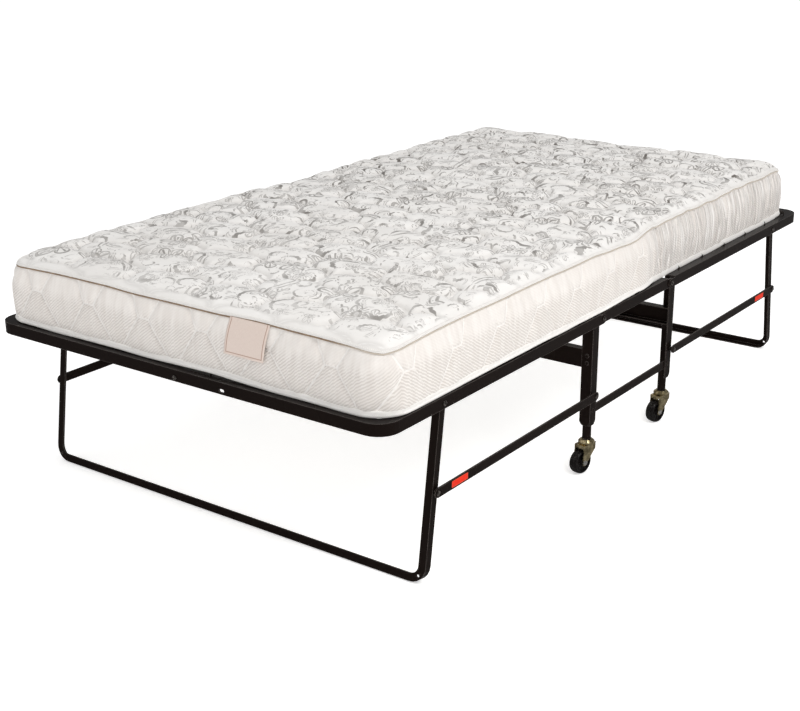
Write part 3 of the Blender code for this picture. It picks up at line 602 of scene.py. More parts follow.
def value_noise(u, v, seed):
    """Smooth noise from -1 to 1 that changes over about one unit."""
    size = 64
    table = np.random.default_rng(seed).uniform(-1.0, 1.0, (size, size))
    u, v = np.broadcast_arrays(np.asarray(u, float), np.asarray(v, float))
    i, j = np.floor(u).astype(int), np.floor(v).astype(int)
    a, b = u - i, v - j
    a, b = a * a * (3 - 2 * a), b * b * (3 - 2 * b)
    i0, i1, j0, j1 = i % size, (i + 1) % size, j % size, (j + 1) % size
    low = table[i0, j0] * (1 - a) + table[i1, j0] * a
    high = table[i0, j1] * (1 - a) + table[i1, j1] * a
    return low * (1 - b) + high * b


def smooth_step(low, high, value):
    t = np.clip((value - low) / (high - low), 0.0, 1.0)
    return t * t * (3 - 2 * t)


def bell(value, centre, width):
    return np.exp(-(((value - centre) / width) ** 2))


# ---------------------------------------------------------------- mattress shape


def seam_shift(x, y):
    """How far the seam, and the top near it, rise or dip along the four sides."""
    from_right, from_left = SEAM_HALF_WIDTH - x, SEAM_HALF_WIDTH + x
    from_near, from_far = END_RUN[NEAR] + y, END_RUN[FAR] - y
    long_side = SEAM_WAVES * value_noise(y / 0.09, 0.0, 11)
    long_side -= MIDDLE_DIP * bell(y, 0.01, 0.085)
    ripples = smooth_step(0.0, 0.12, y) * SEAM_RIPPLES * value_noise(y / 0.026, 5.0, 12)
    ends = SEAM_WAVES * value_noise(x / 0.10, 3.0, 13)
    shift = long_side * np.exp(-(from_right / SEAM_REACH)) + ripples * np.exp(-(from_right / 0.010))
    shift += long_side * np.exp(-(from_left / SEAM_REACH))
    near_end = (ends - NEAR_SEAM_DROP) * np.exp(-(from_near / SEAM_REACH))
    shift += near_end + ends * np.exp(-(from_far / SEAM_REACH))
    corner = np.exp(-(np.minimum(from_right, from_left) + np.minimum(from_near, from_far)) / CORNER_REACH)
    return shift - CORNER_DIP * corner


def quilt_distance(x, y):
    """Distance to the nearest channel of the top quilting, the place along it, and which channel it is."""
    drift_x, drift_y = (QUILT_DRIFT * value_noise(x / 0.21, y / 0.21, seed) for seed in (21, 22))
    u, v = (x + drift_x) / QUILT_PITCH, (y + drift_y) / QUILT_PITCH
    rising = u + v + QUILT_WAVE * np.sin(math.tau * (u - v))
    falling = u - v + QUILT_WAVE * np.sin(math.tau * (u + v))
    to_rising = np.abs(rising - np.round(rising))
    to_falling = np.abs(falling - np.round(falling))
    along = np.where(to_rising < to_falling, falling, rising)
    row = np.where(to_rising < to_falling, np.round(rising), np.round(falling) + 31)
    return np.minimum(to_rising, to_falling) * QUILT_PITCH / math.sqrt(2), along * QUILT_PITCH, row


def top_height(x, y):
    """Height of the top panel over the plan."""
    from_side = SEAM_HALF_WIDTH - np.abs(x)
    from_end = np.where(y < 0, END_RUN[NEAR] + y, END_RUN[FAR] - y)
    from_edge = np.maximum(np.minimum(from_side, from_end), 0.0)
    height = SEAM_HEIGHT + seam_shift(x, y)
    height += EDGE_RISE * (1 - np.exp(-from_edge / EDGE_ROUNDING))
    height += CROWN_RISE * smooth_step(0.02, 0.22, from_edge)
    height += TOP_WAVES * value_noise(x / 0.17, y / 0.17, 31) * smooth_step(0.0, 0.1, from_edge)
    fold_dip = sum(bell(y, place, FOLD_DIP_WIDTH) for place in FOLD_DIPS)
    height -= FOLD_DIP_DEPTH * fold_dip * (0.6 + 0.4 * value_noise(x / 0.1, 0.0, 32))

    gap, along, row = quilt_distance(x, y)
    inner = smooth_step(0.012, PLAIN_MARGIN + 0.015, np.minimum(QUILT_SIDE_CLOSENESS * from_side, from_end))
    depth = QUILT_DEPTH * (1 + 0.35 * value_noise(x / 0.06, y / 0.06, 33))
    channel = np.exp(-((gap / CHANNEL_WIDTH) ** 1.3))
    puff = 1 - np.exp(-gap / PUFF_REACH)
    pucker = value_noise(along / 0.0095, row * 3.7, 34) * np.exp(-gap / 0.016) * (1 - 0.5 * channel)
    pucker = pucker + 0.5 * value_noise(along / 0.021, row * 1.9, 35) * np.exp(-gap / 0.030)
    wrinkle = WRINKLE_HEIGHT * value_noise(x / 0.018, y / 0.018, 36)
    quilting = depth * (0.55 * puff - channel * 0.75) + PUCKER_HEIGHT * pucker + wrinkle
    edge_pull = EDGE_PULL * value_noise(x / 0.013, y / 0.013, 37) * (1 - inner)
    return height + quilting * inner + edge_pull * smooth_step(0.0, 0.01, from_edge)


def half_width_scale(x, y):
    """The far half is a little narrower on the right, where the frame shows beside it."""
    right = 1 - FAR_NARROWING / SEAM_HALF_WIDTH * smooth_step(-0.16, 0.20, y)
    left = 1 - 0.3 * FAR_NARROWING / SEAM_HALF_WIDTH * smooth_step(-0.1, 0.4, y)
    return np.where(x > 0, right, left)


def top_grid(end):
    """The top panel's points from the middle, row 0, to one end, with its corners rounded."""
    run = END_RUN[end]
    across = np.linspace(-SEAM_HALF_WIDTH, SEAM_HALF_WIDTH, ACROSS + 1)
    along = np.linspace(0.0, run, round(run / STEP) + 1)
    x, y = np.meshgrid(across, along)
    i = np.clip((np.abs(x) - SEAM_HALF_WIDTH) / CORNER_RADIUS + 1, 0, 1)
    j = np.clip((y - run) / CORNER_RADIUS + 1, 0, 1)
    round_x = SEAM_HALF_WIDTH + CORNER_RADIUS * (i * np.sqrt(1 - j * j / 2) - 1)
    round_y = run + CORNER_RADIUS * (j * np.sqrt(1 - i * i / 2) - 1)
    in_corner = (i > 0) & (j > 0)
    height = top_height(x, end * y)
    x = np.where(in_corner, np.sign(x) * round_x, x)
    y = end * np.where(in_corner, round_y, y)
    return np.stack([x * half_width_scale(x, y), y, height], axis=-1)


def edge_of(grid):
    """A grid's values round its edge: from the middle up the right side, across the end and back."""
    return np.concatenate([grid[:, -1], grid[-1, -2::-1], grid[-2::-1, 0]])


def outward(path, end):
    """Unit outward directions in plan along an edge path."""
    tangent = np.gradient(path[:, :2], axis=0)
    tangent[0] = (0, end)
    tangent[-1] = (0, -end)
    tangent /= np.linalg.norm(tangent, axis=1)[:, None]
    return np.stack([tangent[:, 1], -tangent[:, 0]], axis=1) * end


def hourglass_phase(run, end):
    """Which hourglass each place round the edge is at: whole numbers are the necks' middles."""
    start = NECK_PHASES[0] + NECK_RUNS[0] / HOURGLASS_PITCH
    if end == FAR:
        return start + run / (run[-1] / FAR_PITCHES)
    last = NECK_PHASES[-1] - (run[-1] - NECK_RUNS[-1]) / HOURGLASS_PITCH
    return np.interp(run, [0.0, *NECK_RUNS, run[-1]], [start, *NECK_PHASES, last])


def corner_pulls(x, y, height, end):
    """Folds that radiate from each corner's seam down the wall."""
    along_side = (END_RUN[end] - CORNER_RADIUS) - np.abs(y)
    along_end = (SEAM_HALF_WIDTH - CORNER_RADIUS) - np.abs(x)
    away = np.maximum(np.maximum(along_side, along_end) + CORNER_RADIUS, 0.0)
    down = SEAM_HEIGHT - height
    angle = np.arctan2(down, away + 0.004)
    reach = np.hypot(down, away)
    folds = np.sin(angle * 11.0 + 2.0 * value_noise(away / 0.05, down / 0.05, 41 + end))
    return CORNER_FOLDS * folds * np.exp(-reach / 0.055) * smooth_step(0.0, 0.012, reach)


def side_wall(path, end, phase, run):
    """Points from the seam down to the bottom edge all along the edge path, and their heights up the wall."""
    normal = outward(path, end)
    share = np.linspace(1.0, 0.0, WALL_ROWS + 1)[None, :]
    x, y, seam = path[:, :1], path[:, 1:2], path[:, 2:3]
    run, offset = run[:, None], (phase - np.round(phase))[:, None]
    bottom = bottom_height(x, y, end)
    height = bottom + (seam - bottom) * share
    up = height - bottom
    edges = smooth_step(0.0, 0.02, up) * smooth_step(0.0, 0.010, seam - height)

    stand = SHOULDER * (1 - np.clip((share - 0.52) / 0.48, 0, 1) ** 2.4)
    stand = stand + WALL_BULGE * np.sin(math.pi * np.clip(share / 0.85, 0, 1))
    gap = stitch_distance(offset, up)
    groove = np.exp(-((gap / GROOVE_WIDTH) ** 1.5))
    puff = 1 - np.exp(-gap / 0.012)
    quilted = 1 - 0.85 * smooth_step(GATHERS_START, GATHERS_FULL, y)
    slack = smooth_step(TAUT_SIDE, SLACK_SIDE, offset * (up - HOURGLASS_NECK))
    slack = slack * (x > 0) * smooth_step(SLACK_START, SLACK_FULL, y)
    quilted = quilted * (1 - 0.6 * slack)
    stand = stand + edges * quilted * (WALL_PUFF * puff - GROOVE_DEPTH * groove)
    pleats = value_noise(run / 0.013, up / 0.09, 51 + end) * np.exp(-(seam - height) / 0.030)
    stand = stand + edges * (WALL_PLEATS * pleats + WALL_WAVES * value_noise(run / 0.05, up / 0.05, 53 + end))
    stand = stand + edges * corner_pulls(x, y, height, end)
    if end == FAR:
        slid = run + 0.16 * up * value_noise(run / 0.11, 2.0, 57)
        gathers = 0.8 - 2.0 * np.abs(value_noise(slid / 0.0135, up / 0.12, 55))
        gathers = gathers + 0.6 * value_noise(slid / 0.046, up / 0.3, 56)
        amount = smooth_step(0.01, 0.09, y) * (0.35 + 0.65 * smooth_step(0.0, 0.05, up))
        stand = stand + edges * GATHER_DEPTH * gathers * amount
    slump = bell(y, 0.035, 0.055) * (x > 0) * smooth_step(0.0, 0.6, 1 - share)
    stand = stand + FOLD_SLUMP * slump
    if end == NEAR:
        label_fold = np.sin((x - 0.30 + (seam - height) * 0.9) * 150.0) * bell(x, 0.33, 0.05) * (y < -0.8)
        stand = stand + edges * LABEL_FOLD * label_fold * np.exp(-(seam - height) / 0.06)
    plan = path[:, None, :2] + normal[:, None, :] * stand[..., None]
    return np.concatenate([plan, height[..., None]], axis=-1), up


def bottom_height(x, y, end):
    """Height of the bottom edge: it sags between the right-hand hooks, and lifts a little at the near end."""
    lift = -BOTTOM_SAG * smooth_step(0.06, 0.13, y) * (x > 0) * (y < 0.80)
    for row in HOOK_ROWS + list(MIDDLE_HOOK_ROWS):
        lift = lift + HOOK_LIFT * bell(y, row, 0.013) * (y > -0.05) * (x > 0)
    if end == NEAR:
        lift = lift + 0.0034 * bell(x, 0.10, 0.10) * bell(y, -END_RUN[NEAR], 0.09)
    waves = 0.0012 * value_noise(x / 0.08, y / 0.08, 61) * smooth_step(0.2, 0.3, np.abs(y))
    return BOTTOM_HEIGHT + lift + waves


def mattress_half(end, materials):
    """One half of the mattress, closed by a flat wall at the middle.

    Returns the piece, its seam and bottom edge, their outward directions and the run along them."""
    grid = top_grid(end)
    rows, columns = grid.shape[0] - 1, grid.shape[1] - 1
    seam = edge_of(grid)
    run = lengths_along(seam[:, :2])
    phase = hourglass_phase(run, end)
    wall, up = side_wall(seam, end, phase, run)

    wall_start = grid.shape[0] * grid.shape[1]
    inner_start = wall_start + len(seam) * WALL_ROWS
    grid_index = np.arange(wall_start).reshape(rows + 1, columns + 1)
    wall_index = np.arange(wall_start, inner_start).reshape(len(seam), WALL_ROWS)
    wall_index = np.hstack([edge_of(grid_index)[:, None], wall_index])

    def quads(index, turned):
        a, b, c, d = index[:-1, :-1], index[1:, :-1], index[1:, 1:], index[:-1, 1:]
        found = np.stack([a, b, c, d], axis=-1).reshape(-1, 4)
        return found[:, ::-1] if turned else found

    top_faces, wall_faces = quads(grid_index, end == NEAR), quads(wall_index, end == NEAR)
    from_side = SEAM_HALF_WIDTH - np.abs(np.linspace(-SEAM_HALF_WIDTH, SEAM_HALF_WIDTH, columns + 1))
    from_end = END_RUN[end] * (1 - np.linspace(0, 1, rows + 1))
    from_edge = np.minimum(PATTERN_SIDE_CLOSENESS * from_side[None, :], from_end[:, None])
    places = np.zeros((inner_start, 3))
    places[wall_index] = np.stack(np.broadcast_arrays((end * run)[:, None], up, phase[:, None]), axis=-1)

    # The underside: rows joined straight across, with a few columns between the two side edges
    bottom_edge, edge_points = wall_index[:, -1], wall[:, -1]
    right, left = edge_points[:rows, None], edge_points[::-1][:rows, None]
    inner = right + (left - right) * np.arange(1, BOTTOM_COLUMNS)[:, None] / BOTTOM_COLUMNS
    inner_index = inner_start + np.arange(rows * (BOTTOM_COLUMNS - 1)).reshape(rows, -1)
    lines = np.hstack([bottom_edge[:rows, None], inner_index, bottom_edge[::-1][:rows, None]])
    bottom_faces = quads(lines, end == FAR).tolist()
    across_end = bottom_edge[rows : rows + columns + 1]
    share = columns // BOTTOM_COLUMNS
    for k in range(BOTTOM_COLUMNS):
        face = [lines[-1, k], *across_end[k * share : (k + 1) * share + 1], lines[-1, k + 1]]
        bottom_faces.append(face[::-1] if end == FAR else face)

    # The wall across the middle
    middle = [*grid_index[0], *wall_index[0, 1:], *lines[0, 1:-1], *wall_index[-1, :0:-1]]
    middle_face = middle if end == FAR else middle[::-1]

    all_points = np.concatenate([part.reshape(-1, 3) for part in (grid, wall[:, 1:], inner)])
    faces = top_faces.tolist() + wall_faces.tolist() + bottom_faces + [middle_face]
    piece = mesh_object(f"{END_NAMES[end]}_mattress_pad", all_points, faces, materials[0], 60.0)
    mesh = piece.data
    for material in materials[1:]:
        mesh.materials.append(material)
    zone = [0] * len(top_faces) + [1] * len(wall_faces) + [2] * (len(bottom_faces) + 1)
    mesh.polygons.foreach_set("material_index", zone)

    # The cloth's coordinates: the top's and the underside's are the plan, and the wall's run round the edge
    top_places = np.stack([grid[..., 0], grid[..., 1], from_edge], axis=-1).reshape(-1, 3)
    rest = np.concatenate([np.ravel(face) for face in bottom_faces + [middle_face]]).astype(int)
    corners = [top_places[top_faces.ravel()], places[wall_faces.ravel()], all_points[rest] * (1, 1, 0)]
    set_cloth_place(mesh, None, np.concatenate(corners))
    gap = np.ones(len(all_points))
    gap[:wall_start] = quilt_distance(grid[..., 0], grid[..., 1])[0].ravel()
    mesh.attributes.new("quilt_gap", "FLOAT", "POINT").data.foreach_set("value", gap.astype(np.float32))
    return piece, seam, wall[:, -1], outward(seam, end), run


def swept_trim(name, path, normal, run, profile, material, end):
    """A closed strip along an edge path. profile is a loop of (outward, up) offsets."""
    count = len(profile)
    offsets = np.array(profile)
    out3 = np.concatenate([normal, np.zeros((len(normal), 1))], axis=1)
    points = path[:, None, :] + out3[:, None, :] * offsets[None, :, :1]
    points = points + np.array([0, 0, 1.0]) * offsets[None, :, 1:2]
    index = np.arange(len(path) * count).reshape(len(path), count)
    following = np.roll(index, -1, axis=1)
    faces = np.stack([index[:-1], index[1:], following[1:], following[:-1]], axis=-1).reshape(-1, 4)
    faces = faces.tolist() + [index[0].tolist(), index[-1].tolist()[::-1]]
    if end == FAR:
        faces = [face[::-1] for face in faces]
    piece = mesh_object(name, points.reshape(-1, 3), faces, material, 50.0)
    places = np.stack(np.broadcast_arrays(run[:, None], lengths_along(offsets)[None, :], 0.0), axis=-1)
    set_cloth_place(piece.data, places.reshape(-1, 3))
    return piece


def round_profile(radius, sides, out, up):
    """A circle of offsets, run clockwise from its outer point."""
    turns = [math.tau * k / sides for k in range(sides)]
    return [(out + radius * math.cos(t), up - radius * math.sin(t)) for t in turns]


# The tape's section, as (outward, up) offsets: down its outer face, under the mattress's edge and back up
TAPE_PROFILE = [
    *((0.0034, TAPE_HEIGHT * 0.5), (0.0044, 0.0022), (0.0030, -0.0006)),
    *((-0.0010, -0.0012), (-0.0110, -0.0012), (-0.0112, 0.0006), (-0.0030, 0.0010)),
    *((-0.0008, TAPE_HEIGHT * 0.6), (-0.0008, TAPE_HEIGHT)),
    *((0.0010, TAPE_HEIGHT + 0.0003), (0.0019, TAPE_HEIGHT - 0.0014)),
]


def bend_with_fold(piece, end):
    """Bakes the piece's placement into its mesh; it is not tied to any section or to the fold."""
    if end == NEAR:
        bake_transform(piece)
    else:
        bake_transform(piece)


def make_mattress():
    """Both halves with their trims, and the blank label."""
    covers = [damask(), border_ticking(), plain_ticking()]
    white_trim = trim("edge_piping", (0.90, 0.88, 0.85), (0.80, 0.775, 0.745), 0.0035)
    # The seam cord: tan, darkened to brown as painted shade under the piping; its paler grey-tan on the right side
    # is a painted lit copy
    tan_and_shaded_cord = trim("seam_cord", (0.36, 0.245, 0.15), (0.20, 0.125, 0.075), 0.0016, (0.60, 0.53, 0.45))
    tape_cloth = trim("binding_tape", (0.96, 0.94, 0.91), (0.89, 0.865, 0.83), 0.0024)
    pads = {}
    for end, name in END_NAMES.items():
        pad, seam, bottom, normal, run = mattress_half(end, covers)
        stands_for = [f"{name}_mattress", "middle_mattress"] if end == NEAR else [f"{name}_mattress"]
        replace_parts(pad, *stands_for)
        pads[end] = pad
        for kind, path, profile, cloth in (
            ("edge_piping", seam, round_profile(PIPING_RADIUS, 10, 0.0002, 0.0014), white_trim),
            ("seam_cord", seam, round_profile(CORD_RADIUS, 8, 0.0026, -0.0022), tan_and_shaded_cord),
            ("binding_tape", bottom, TAPE_PROFILE, tape_cloth),
        ):
            bend_with_fold(swept_trim(f"{name}_{kind}", path, normal, run, profile, cloth, end), end)
    label = make_label(pads[NEAR])
    for end, pad in pads.items():
        bend_with_fold(pad, end)


# The label's top and bottom edges on the near wall: x at the left, x at the right, and z
LABEL_TOP = (0.1365, 0.2305, 0.4718)
LABEL_BOTTOM = (0.1320, 0.2260, 0.4055)
LABEL_CELLS = (30, 22)
LABEL_STAND, LABEL_THICKNESS, FOOT_CURL, SIDE_CURL = 0.0009, 0.0005, 0.0022, 0.0010


def make_label(pad):
    """A thin sewn label that follows the wall behind it."""
    tree = BVHTree.FromPolygons([v.co for v in pad.data.vertices], [p.vertices for p in pad.data.polygons])
    columns, rows = LABEL_CELLS
    points, places = [], []
    for across, down in film_shares(LABEL_CELLS):
        left, right, z = (high + (low - high) * down for high, low in zip(LABEL_TOP, LABEL_BOTTOM))
        x = left + (right - left) * across
        hit = tree.ray_cast(Vector((x, -2.0, z)), Vector((0, 1, 0)))[0]
        curl = FOOT_CURL * down**3 + SIDE_CURL * (abs(across - 0.5) * 2) ** 4 * down
        points.append(Vector((x, hit.y - LABEL_STAND - curl, z)))
        places.append((across * LABEL_SIZE[0], (1 - down) * LABEL_SIZE[1], 0.0))
    # Each row is level with its own frontmost point, smoothed over the rows beside it
    by_row = np.array([p.y for p in points]).reshape(rows + 1, columns + 1).min(axis=1)
    by_row = np.convolve(np.pad(by_row, 3, mode="edge"), np.full(7, 1 / 7), mode="valid")
    points = [Vector((p.x, by_row[k // (columns + 1)], p.z)) for k, p in enumerate(points)]
    label = thin_film("near_blank_label", points, places, LABEL_CELLS, label_cloth(), LABEL_THICKNESS, -1)
    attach(label, "near_section")
    return label


# ---------------------------------------------------------------- wire decks and springs

DECK_HEIGHT = 0.3492
BORDER_HALF_WIDTH = 0.4336
BORDER_START, BORDER_END = 0.224, 0.8536
BORDER_MIDDLE = 0.098
BORDER_CORNER = 0.006
BORDER_RADIUS, LINK_RADIUS, SPRING_RADIUS = 0.0018, 0.0012, 0.0009
LONG_WIRES, CROSS_WIRES, MIDDLE_CROSS_WIRES = 11, 11, 3
WEAVE_RISE = 0.0011
COIL_RADIUS = 0.0040
COIL_START, COIL_END, COIL_TURNS = 0.0062, 0.0275, 10
HOOK_REACH = 0.0424
HOOK_RADIUS = 0.0016
HOOK_COLUMNS = [-BORDER_HALF_WIDTH + 2 * BORDER_HALF_WIDTH * k / 5 for k in range(6)]


def tube(path, radius, sides):
    """Points and faces of a round wire along a path, with closed ends."""
    path = np.asarray(path, float)
    tangent = np.gradient(path, axis=0)
    tangent /= np.linalg.norm(tangent, axis=1)[:, None]
    side = np.cross(tangent[0], (0.0, 0.0, 1.0) if abs(tangent[0][2]) < 0.9 else (1.0, 0.0, 0.0))
    sides_along = []
    for direction in tangent:
        side = side - direction * side.dot(direction)
        side = side / np.linalg.norm(side)
        sides_along.append(side)
    across = np.array(sides_along)
    upward = np.cross(tangent, across)
    turn = math.tau * np.arange(sides) / sides
    ring = across[:, None] * np.cos(turn)[None, :, None] + upward[:, None] * np.sin(turn)[None, :, None]
    index = np.arange(len(path) * sides).reshape(len(path), sides)
    following = np.roll(index, -1, axis=1)
    faces = np.stack([index[:-1], following[:-1], following[1:], index[1:]], axis=-1).reshape(-1, 4).tolist()
    faces += [index[0][::-1].tolist(), index[-1].tolist()]
    return (path[:, None] + radius * ring).reshape(-1, 3), faces


def wire_piece(name, wires, finishes, slot, body):
    """One piece made of several round wires, each a (path, radius, sides)."""
    points, faces, start = [], [], 0
    for path, radius, sides in wires:
        more, loops = tube(path, radius, sides)
        points.append(more)
        faces += [[start + k for k in loop] for loop in loops]
        start += len(more)
    piece = mesh_object(name, np.concatenate(points), faces, finishes[slot], 60.0)
    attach(piece, body)
    return piece


def border_loop(y_low, y_high):
    """A rectangle with round corners, overlapped where its ends are welded."""
    corners = [(1, y_high, 0), (-1, y_high, 90), (-1, y_low, 180), (1, y_low, 270)]
    path = []
    for side, y, first in corners:
        centre_x = side * (BORDER_HALF_WIDTH - BORDER_CORNER)
        centre_y = y - math.copysign(BORDER_CORNER, y - (y_low + y_high) / 2)
        for turn in np.radians([first + 15 * k for k in range(7)]):
            place = (centre_x + BORDER_CORNER * math.cos(turn), centre_y + BORDER_CORNER * math.sin(turn))
            path.append((*place, DECK_HEIGHT))
    closing = [path[0], tuple(np.array(path[0]) * 0.6 + np.array(path[1]) * 0.4)]
    return path + closing


def end_curl(inward):
    """How a link wire wraps round the border: (inward, up) offsets from the border's middle, tip first."""
    reach = BORDER_RADIUS + LINK_RADIUS
    return [(inward * reach * math.cos(t), reach * math.sin(t)) for t in np.radians(range(-60, -341, -28))]


def link_wires(y_low, y_high, crosses):
    """Lengthwise and crosswise wires, woven over and under each other and wrapped round the border."""
    xs = np.linspace(-BORDER_HALF_WIDTH, BORDER_HALF_WIDTH, LONG_WIRES + 2)[1:-1]
    ys = np.linspace(y_low, y_high, crosses + 2)[1:-1]

    def woven(low, high, across, rise, start):
        """One wire from low to high as (along, up), over and under the wires it crosses."""
        first = [(low + a, b) for a, b in end_curl(1)]
        last = [(high + a, b) for a, b in end_curl(-1)]
        return first + [(at, rise * (-1) ** (start + k)) for k, at in enumerate(across)] + last[::-1]

    wires = []
    for i, x in enumerate(xs):
        wires.append([(x, y, DECK_HEIGHT + up) for y, up in woven(y_low, y_high, ys, WEAVE_RISE, i)])
    for j, y in enumerate(ys):
        wire = woven(-BORDER_HALF_WIDTH, BORDER_HALF_WIDTH, xs, -WEAVE_RISE, j)
        wires.append([(x, y, DECK_HEIGHT + up) for x, up in wire])
    return [(wire, LINK_RADIUS, 6) for wire in wires]


def spring(place, outward_way):
    """A coil that starts with a loop round the border wire."""
    reach = BORDER_RADIUS + SPRING_RADIUS
    local = [(reach * math.cos(t), 0.0, reach * math.sin(t)) for t in np.radians(range(-30, -331, -30))]
    steps = COIL_TURNS * 10
    for k in range(steps + 1):
        turn = math.tau * COIL_TURNS * k / steps
        along = COIL_START + (COIL_END - COIL_START) * k / steps
        local.append((along, COIL_RADIUS * math.sin(turn), COIL_RADIUS * math.cos(turn)))
    return placed(local, place, outward_way, SPRING_RADIUS, 5)


def hook(place, outward_way):
    """A dark wire hook from a spring's end, over the rail's flange and down through its hole."""
    local = [(0.0262, 0.0, -0.0030), (0.0268, 0.0, 0.0020), (0.0290, 0.0, 0.0060), (0.0325, 0.0, 0.0085)]
    local += [(0.0365, 0.0, 0.0093), (0.0400, 0.0, 0.0080), (0.0422, 0.0, 0.0052), (HOOK_REACH, 0.0, 0.0020)]
    local += [(HOOK_REACH, 0.0, -0.0026), (HOOK_REACH - 0.0012, 0.0, -0.0044)]
    return placed(local, place, outward_way, HOOK_RADIUS, 8)


def placed(local, place, outward_way, radius, sides):
    """A wire given by (outward, sideways, up) offsets from a place on the border wire."""
    ahead = Vector((*outward_way, 0.0))
    beside = Vector((-outward_way[1], outward_way[0], 0.0))
    base = Vector((*place, DECK_HEIGHT))
    return ([tuple(base + ahead * a + beside * b + Vector((0, 0, c))) for a, b, c in local], radius, sides)


def make_deck(name, body, span, crosses, hook_rows, finishes, end=None):
    """One woven wire deck, and the springs and hooks that hang it on its frame."""
    wires = [(border_loop(*span), BORDER_RADIUS, 8)] + link_wires(*span, crosses)
    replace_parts(wire_piece(f"{name}_deck_wires", wires, finishes, "deck_wire", body), f"{name}_deck")
    spots = [((side * BORDER_HALF_WIDTH, y), (side, 0)) for y in hook_rows for side in SIDE_NAMES]
    if end:
        spots += [((x, end * BORDER_END), (0, end)) for x in HOOK_COLUMNS]
    wire_piece(f"{name}_deck_springs", [spring(*spot) for spot in spots], finishes, "deck_wire", body)
    wire_piece(f"{name}_deck_hooks", [hook(*spot) for spot in spots], finishes, "frame_enamel", body)


def make_decks(finishes):
    """The decks of the two end sections and the centre frame."""
    for end, name in END_NAMES.items():
        span = sorted((end * BORDER_START, end * BORDER_END))
        make_deck(name, f"{name}_section", span, CROSS_WIRES, [end * y for y in HOOK_ROWS], finishes, end)
    span = (-BORDER_MIDDLE, BORDER_MIDDLE)
    make_deck("middle", "centre_frame", span, MIDDLE_CROSS_WIRES, MIDDLE_HOOK_ROWS, finishes)


# ---------------------------------------------------------------- caster wheels and stickers

WHEEL_BORE, WHEEL_HALF_WIDTH = 0.0042, 0.0100
WHEEL_STEPS, WHEEL_RIBS = 56, 8
WEB_START, WEB_END, WEB_DISH, RIB_HEIGHT = 0.0106, 0.74, 0.004, 0.0016


def wheel_profile(width, radius, bore):
    """Half the wheel's outline from the bore to the tread's middle, as (radius, along) pairs."""
    hub = ((0.0, 0.0006), (0.0006, 0.0), (0.0034, 0.0), (0.0042, 0.0008), (0.0046, 0.0036), (0.0066, 0.0042))
    web_and_rim = ((0.72, 0.0042), (0.76, 0.0034), (0.78, 0.0008), (0.81, 0.0003), (0.90, 0.0003))
    shoulder = ((0.945, 0.0011), (0.975, 0.0027), (0.992, 0.0048))
    outline = [(bore + out, width - down) for out, down in hub]
    outline += [(radius * share, width - down) for share, down in web_and_rim + shoulder]
    return outline + [(radius, width * 0.25), (radius, 0.0004), (radius - 0.0004, 0.0)]


def make_wheel(name, joint, material):
    """A moulded wheel, turned about its axle, with shallow ribs in its dished web."""
    low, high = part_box(f"{name}_wheel")
    hub = Vector(joint["pos_m"])
    axis = Vector(joint["axis"]).normalized()
    radius = (high.z - low.z) / 2
    width = WHEEL_HALF_WIDTH
    half = wheel_profile(width, radius, WHEEL_BORE)
    outline = np.array(half + [(r, -a) for r, a in half[-2::-1]])
    upward = Vector((0, 0, 1))
    beside = axis.cross(upward)
    in_web = [WEB_START < r < radius * WEB_END and abs(a) < width - WEB_DISH for r, a in outline]
    points = []
    for step in range(WHEEL_STEPS):
        turn = math.tau * step / WHEEL_STEPS
        rib = RIB_HEIGHT if step % (WHEEL_STEPS // WHEEL_RIBS) == 0 else 0.0
        for (r, a), ribbed in zip(outline, in_web):
            along = a + math.copysign(rib, a) if ribbed else a
            points.append(hub + axis * along + (beside * math.cos(turn) + upward * math.sin(turn)) * r)
    count = len(outline)
    index = np.arange(WHEEL_STEPS * count).reshape(WHEEL_STEPS, count)
    ahead = np.roll(index, -1, axis=0)
    faces = np.stack([index, ahead, np.roll(ahead, -1, axis=1), np.roll(index, -1, axis=1)], axis=-1)
    wheel = mesh_object(f"{name}_turned_wheel", points, faces.reshape(-1, 4).tolist(), material, 32.0)
    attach(wheel, f"{name}_roller")
    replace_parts(wheel, f"{name}_wheel")


STICKER_STARTS = {NEAR: -0.719, FAR: 0.648}
STICKER_CELLS = (26, 8)
STICKER_STAND, STICKER_THICKNESS, CORNER_CUT, CORNER_LIFT = 0.00025, 0.0002, 0.0012, 0.0009


def make_sticker(end, film):
    """A blank film sticker on the right-hand link bar, with one corner a little lifted."""
    name = END_NAMES[end]
    low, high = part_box(f"{name}_link_right")
    points, places = [], []
    for across, up in film_shares(STICKER_CELLS):
        rounding = CORNER_CUT * abs(2 * up - 1) ** 6 * abs(2 * across - 1) ** 24 * (1 if across < 0.5 else -1)
        lift = CORNER_LIFT * max(0.0, across + up - 1.72) ** 1.5 / 0.15
        y = STICKER_STARTS[end] + across * STICKER_SIZE[0] + rounding
        z = (low.z + high.z) / 2 + (up - 0.5) * STICKER_SIZE[1]
        points.append((high.x + STICKER_STAND + lift, y, z))
        places.append((across * STICKER_SIZE[0], up * STICKER_SIZE[1], 0.0))
    sticker = thin_film(f"{name}_blank_sticker", points, places, STICKER_CELLS, film, STICKER_THICKNESS)
    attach(sticker, f"{name}_link_right_bar")


def make_casters_and_stickers(finishes):
    """The four caster wheels, and the two blank stickers."""
    joints = {joint["name"]: joint for joint in frame["joints"]}
    for end in END_NAMES.values():
        for side in SIDE_NAMES.values():
            name = f"{end}_caster_{side}"
            make_wheel(name, joints[f"{name}_wheel_spin"], finishes["wheel_black"])
    film = sticker_film()
    for end in END_NAMES:
        make_sticker(end, film)


# ---------------------------------------------------------------- stage

WORLD_FOR_CAMERA, WORLD_FOR_LIGHT, WORLD_FOR_GLOSS = 1.0, 0.62, 0.25


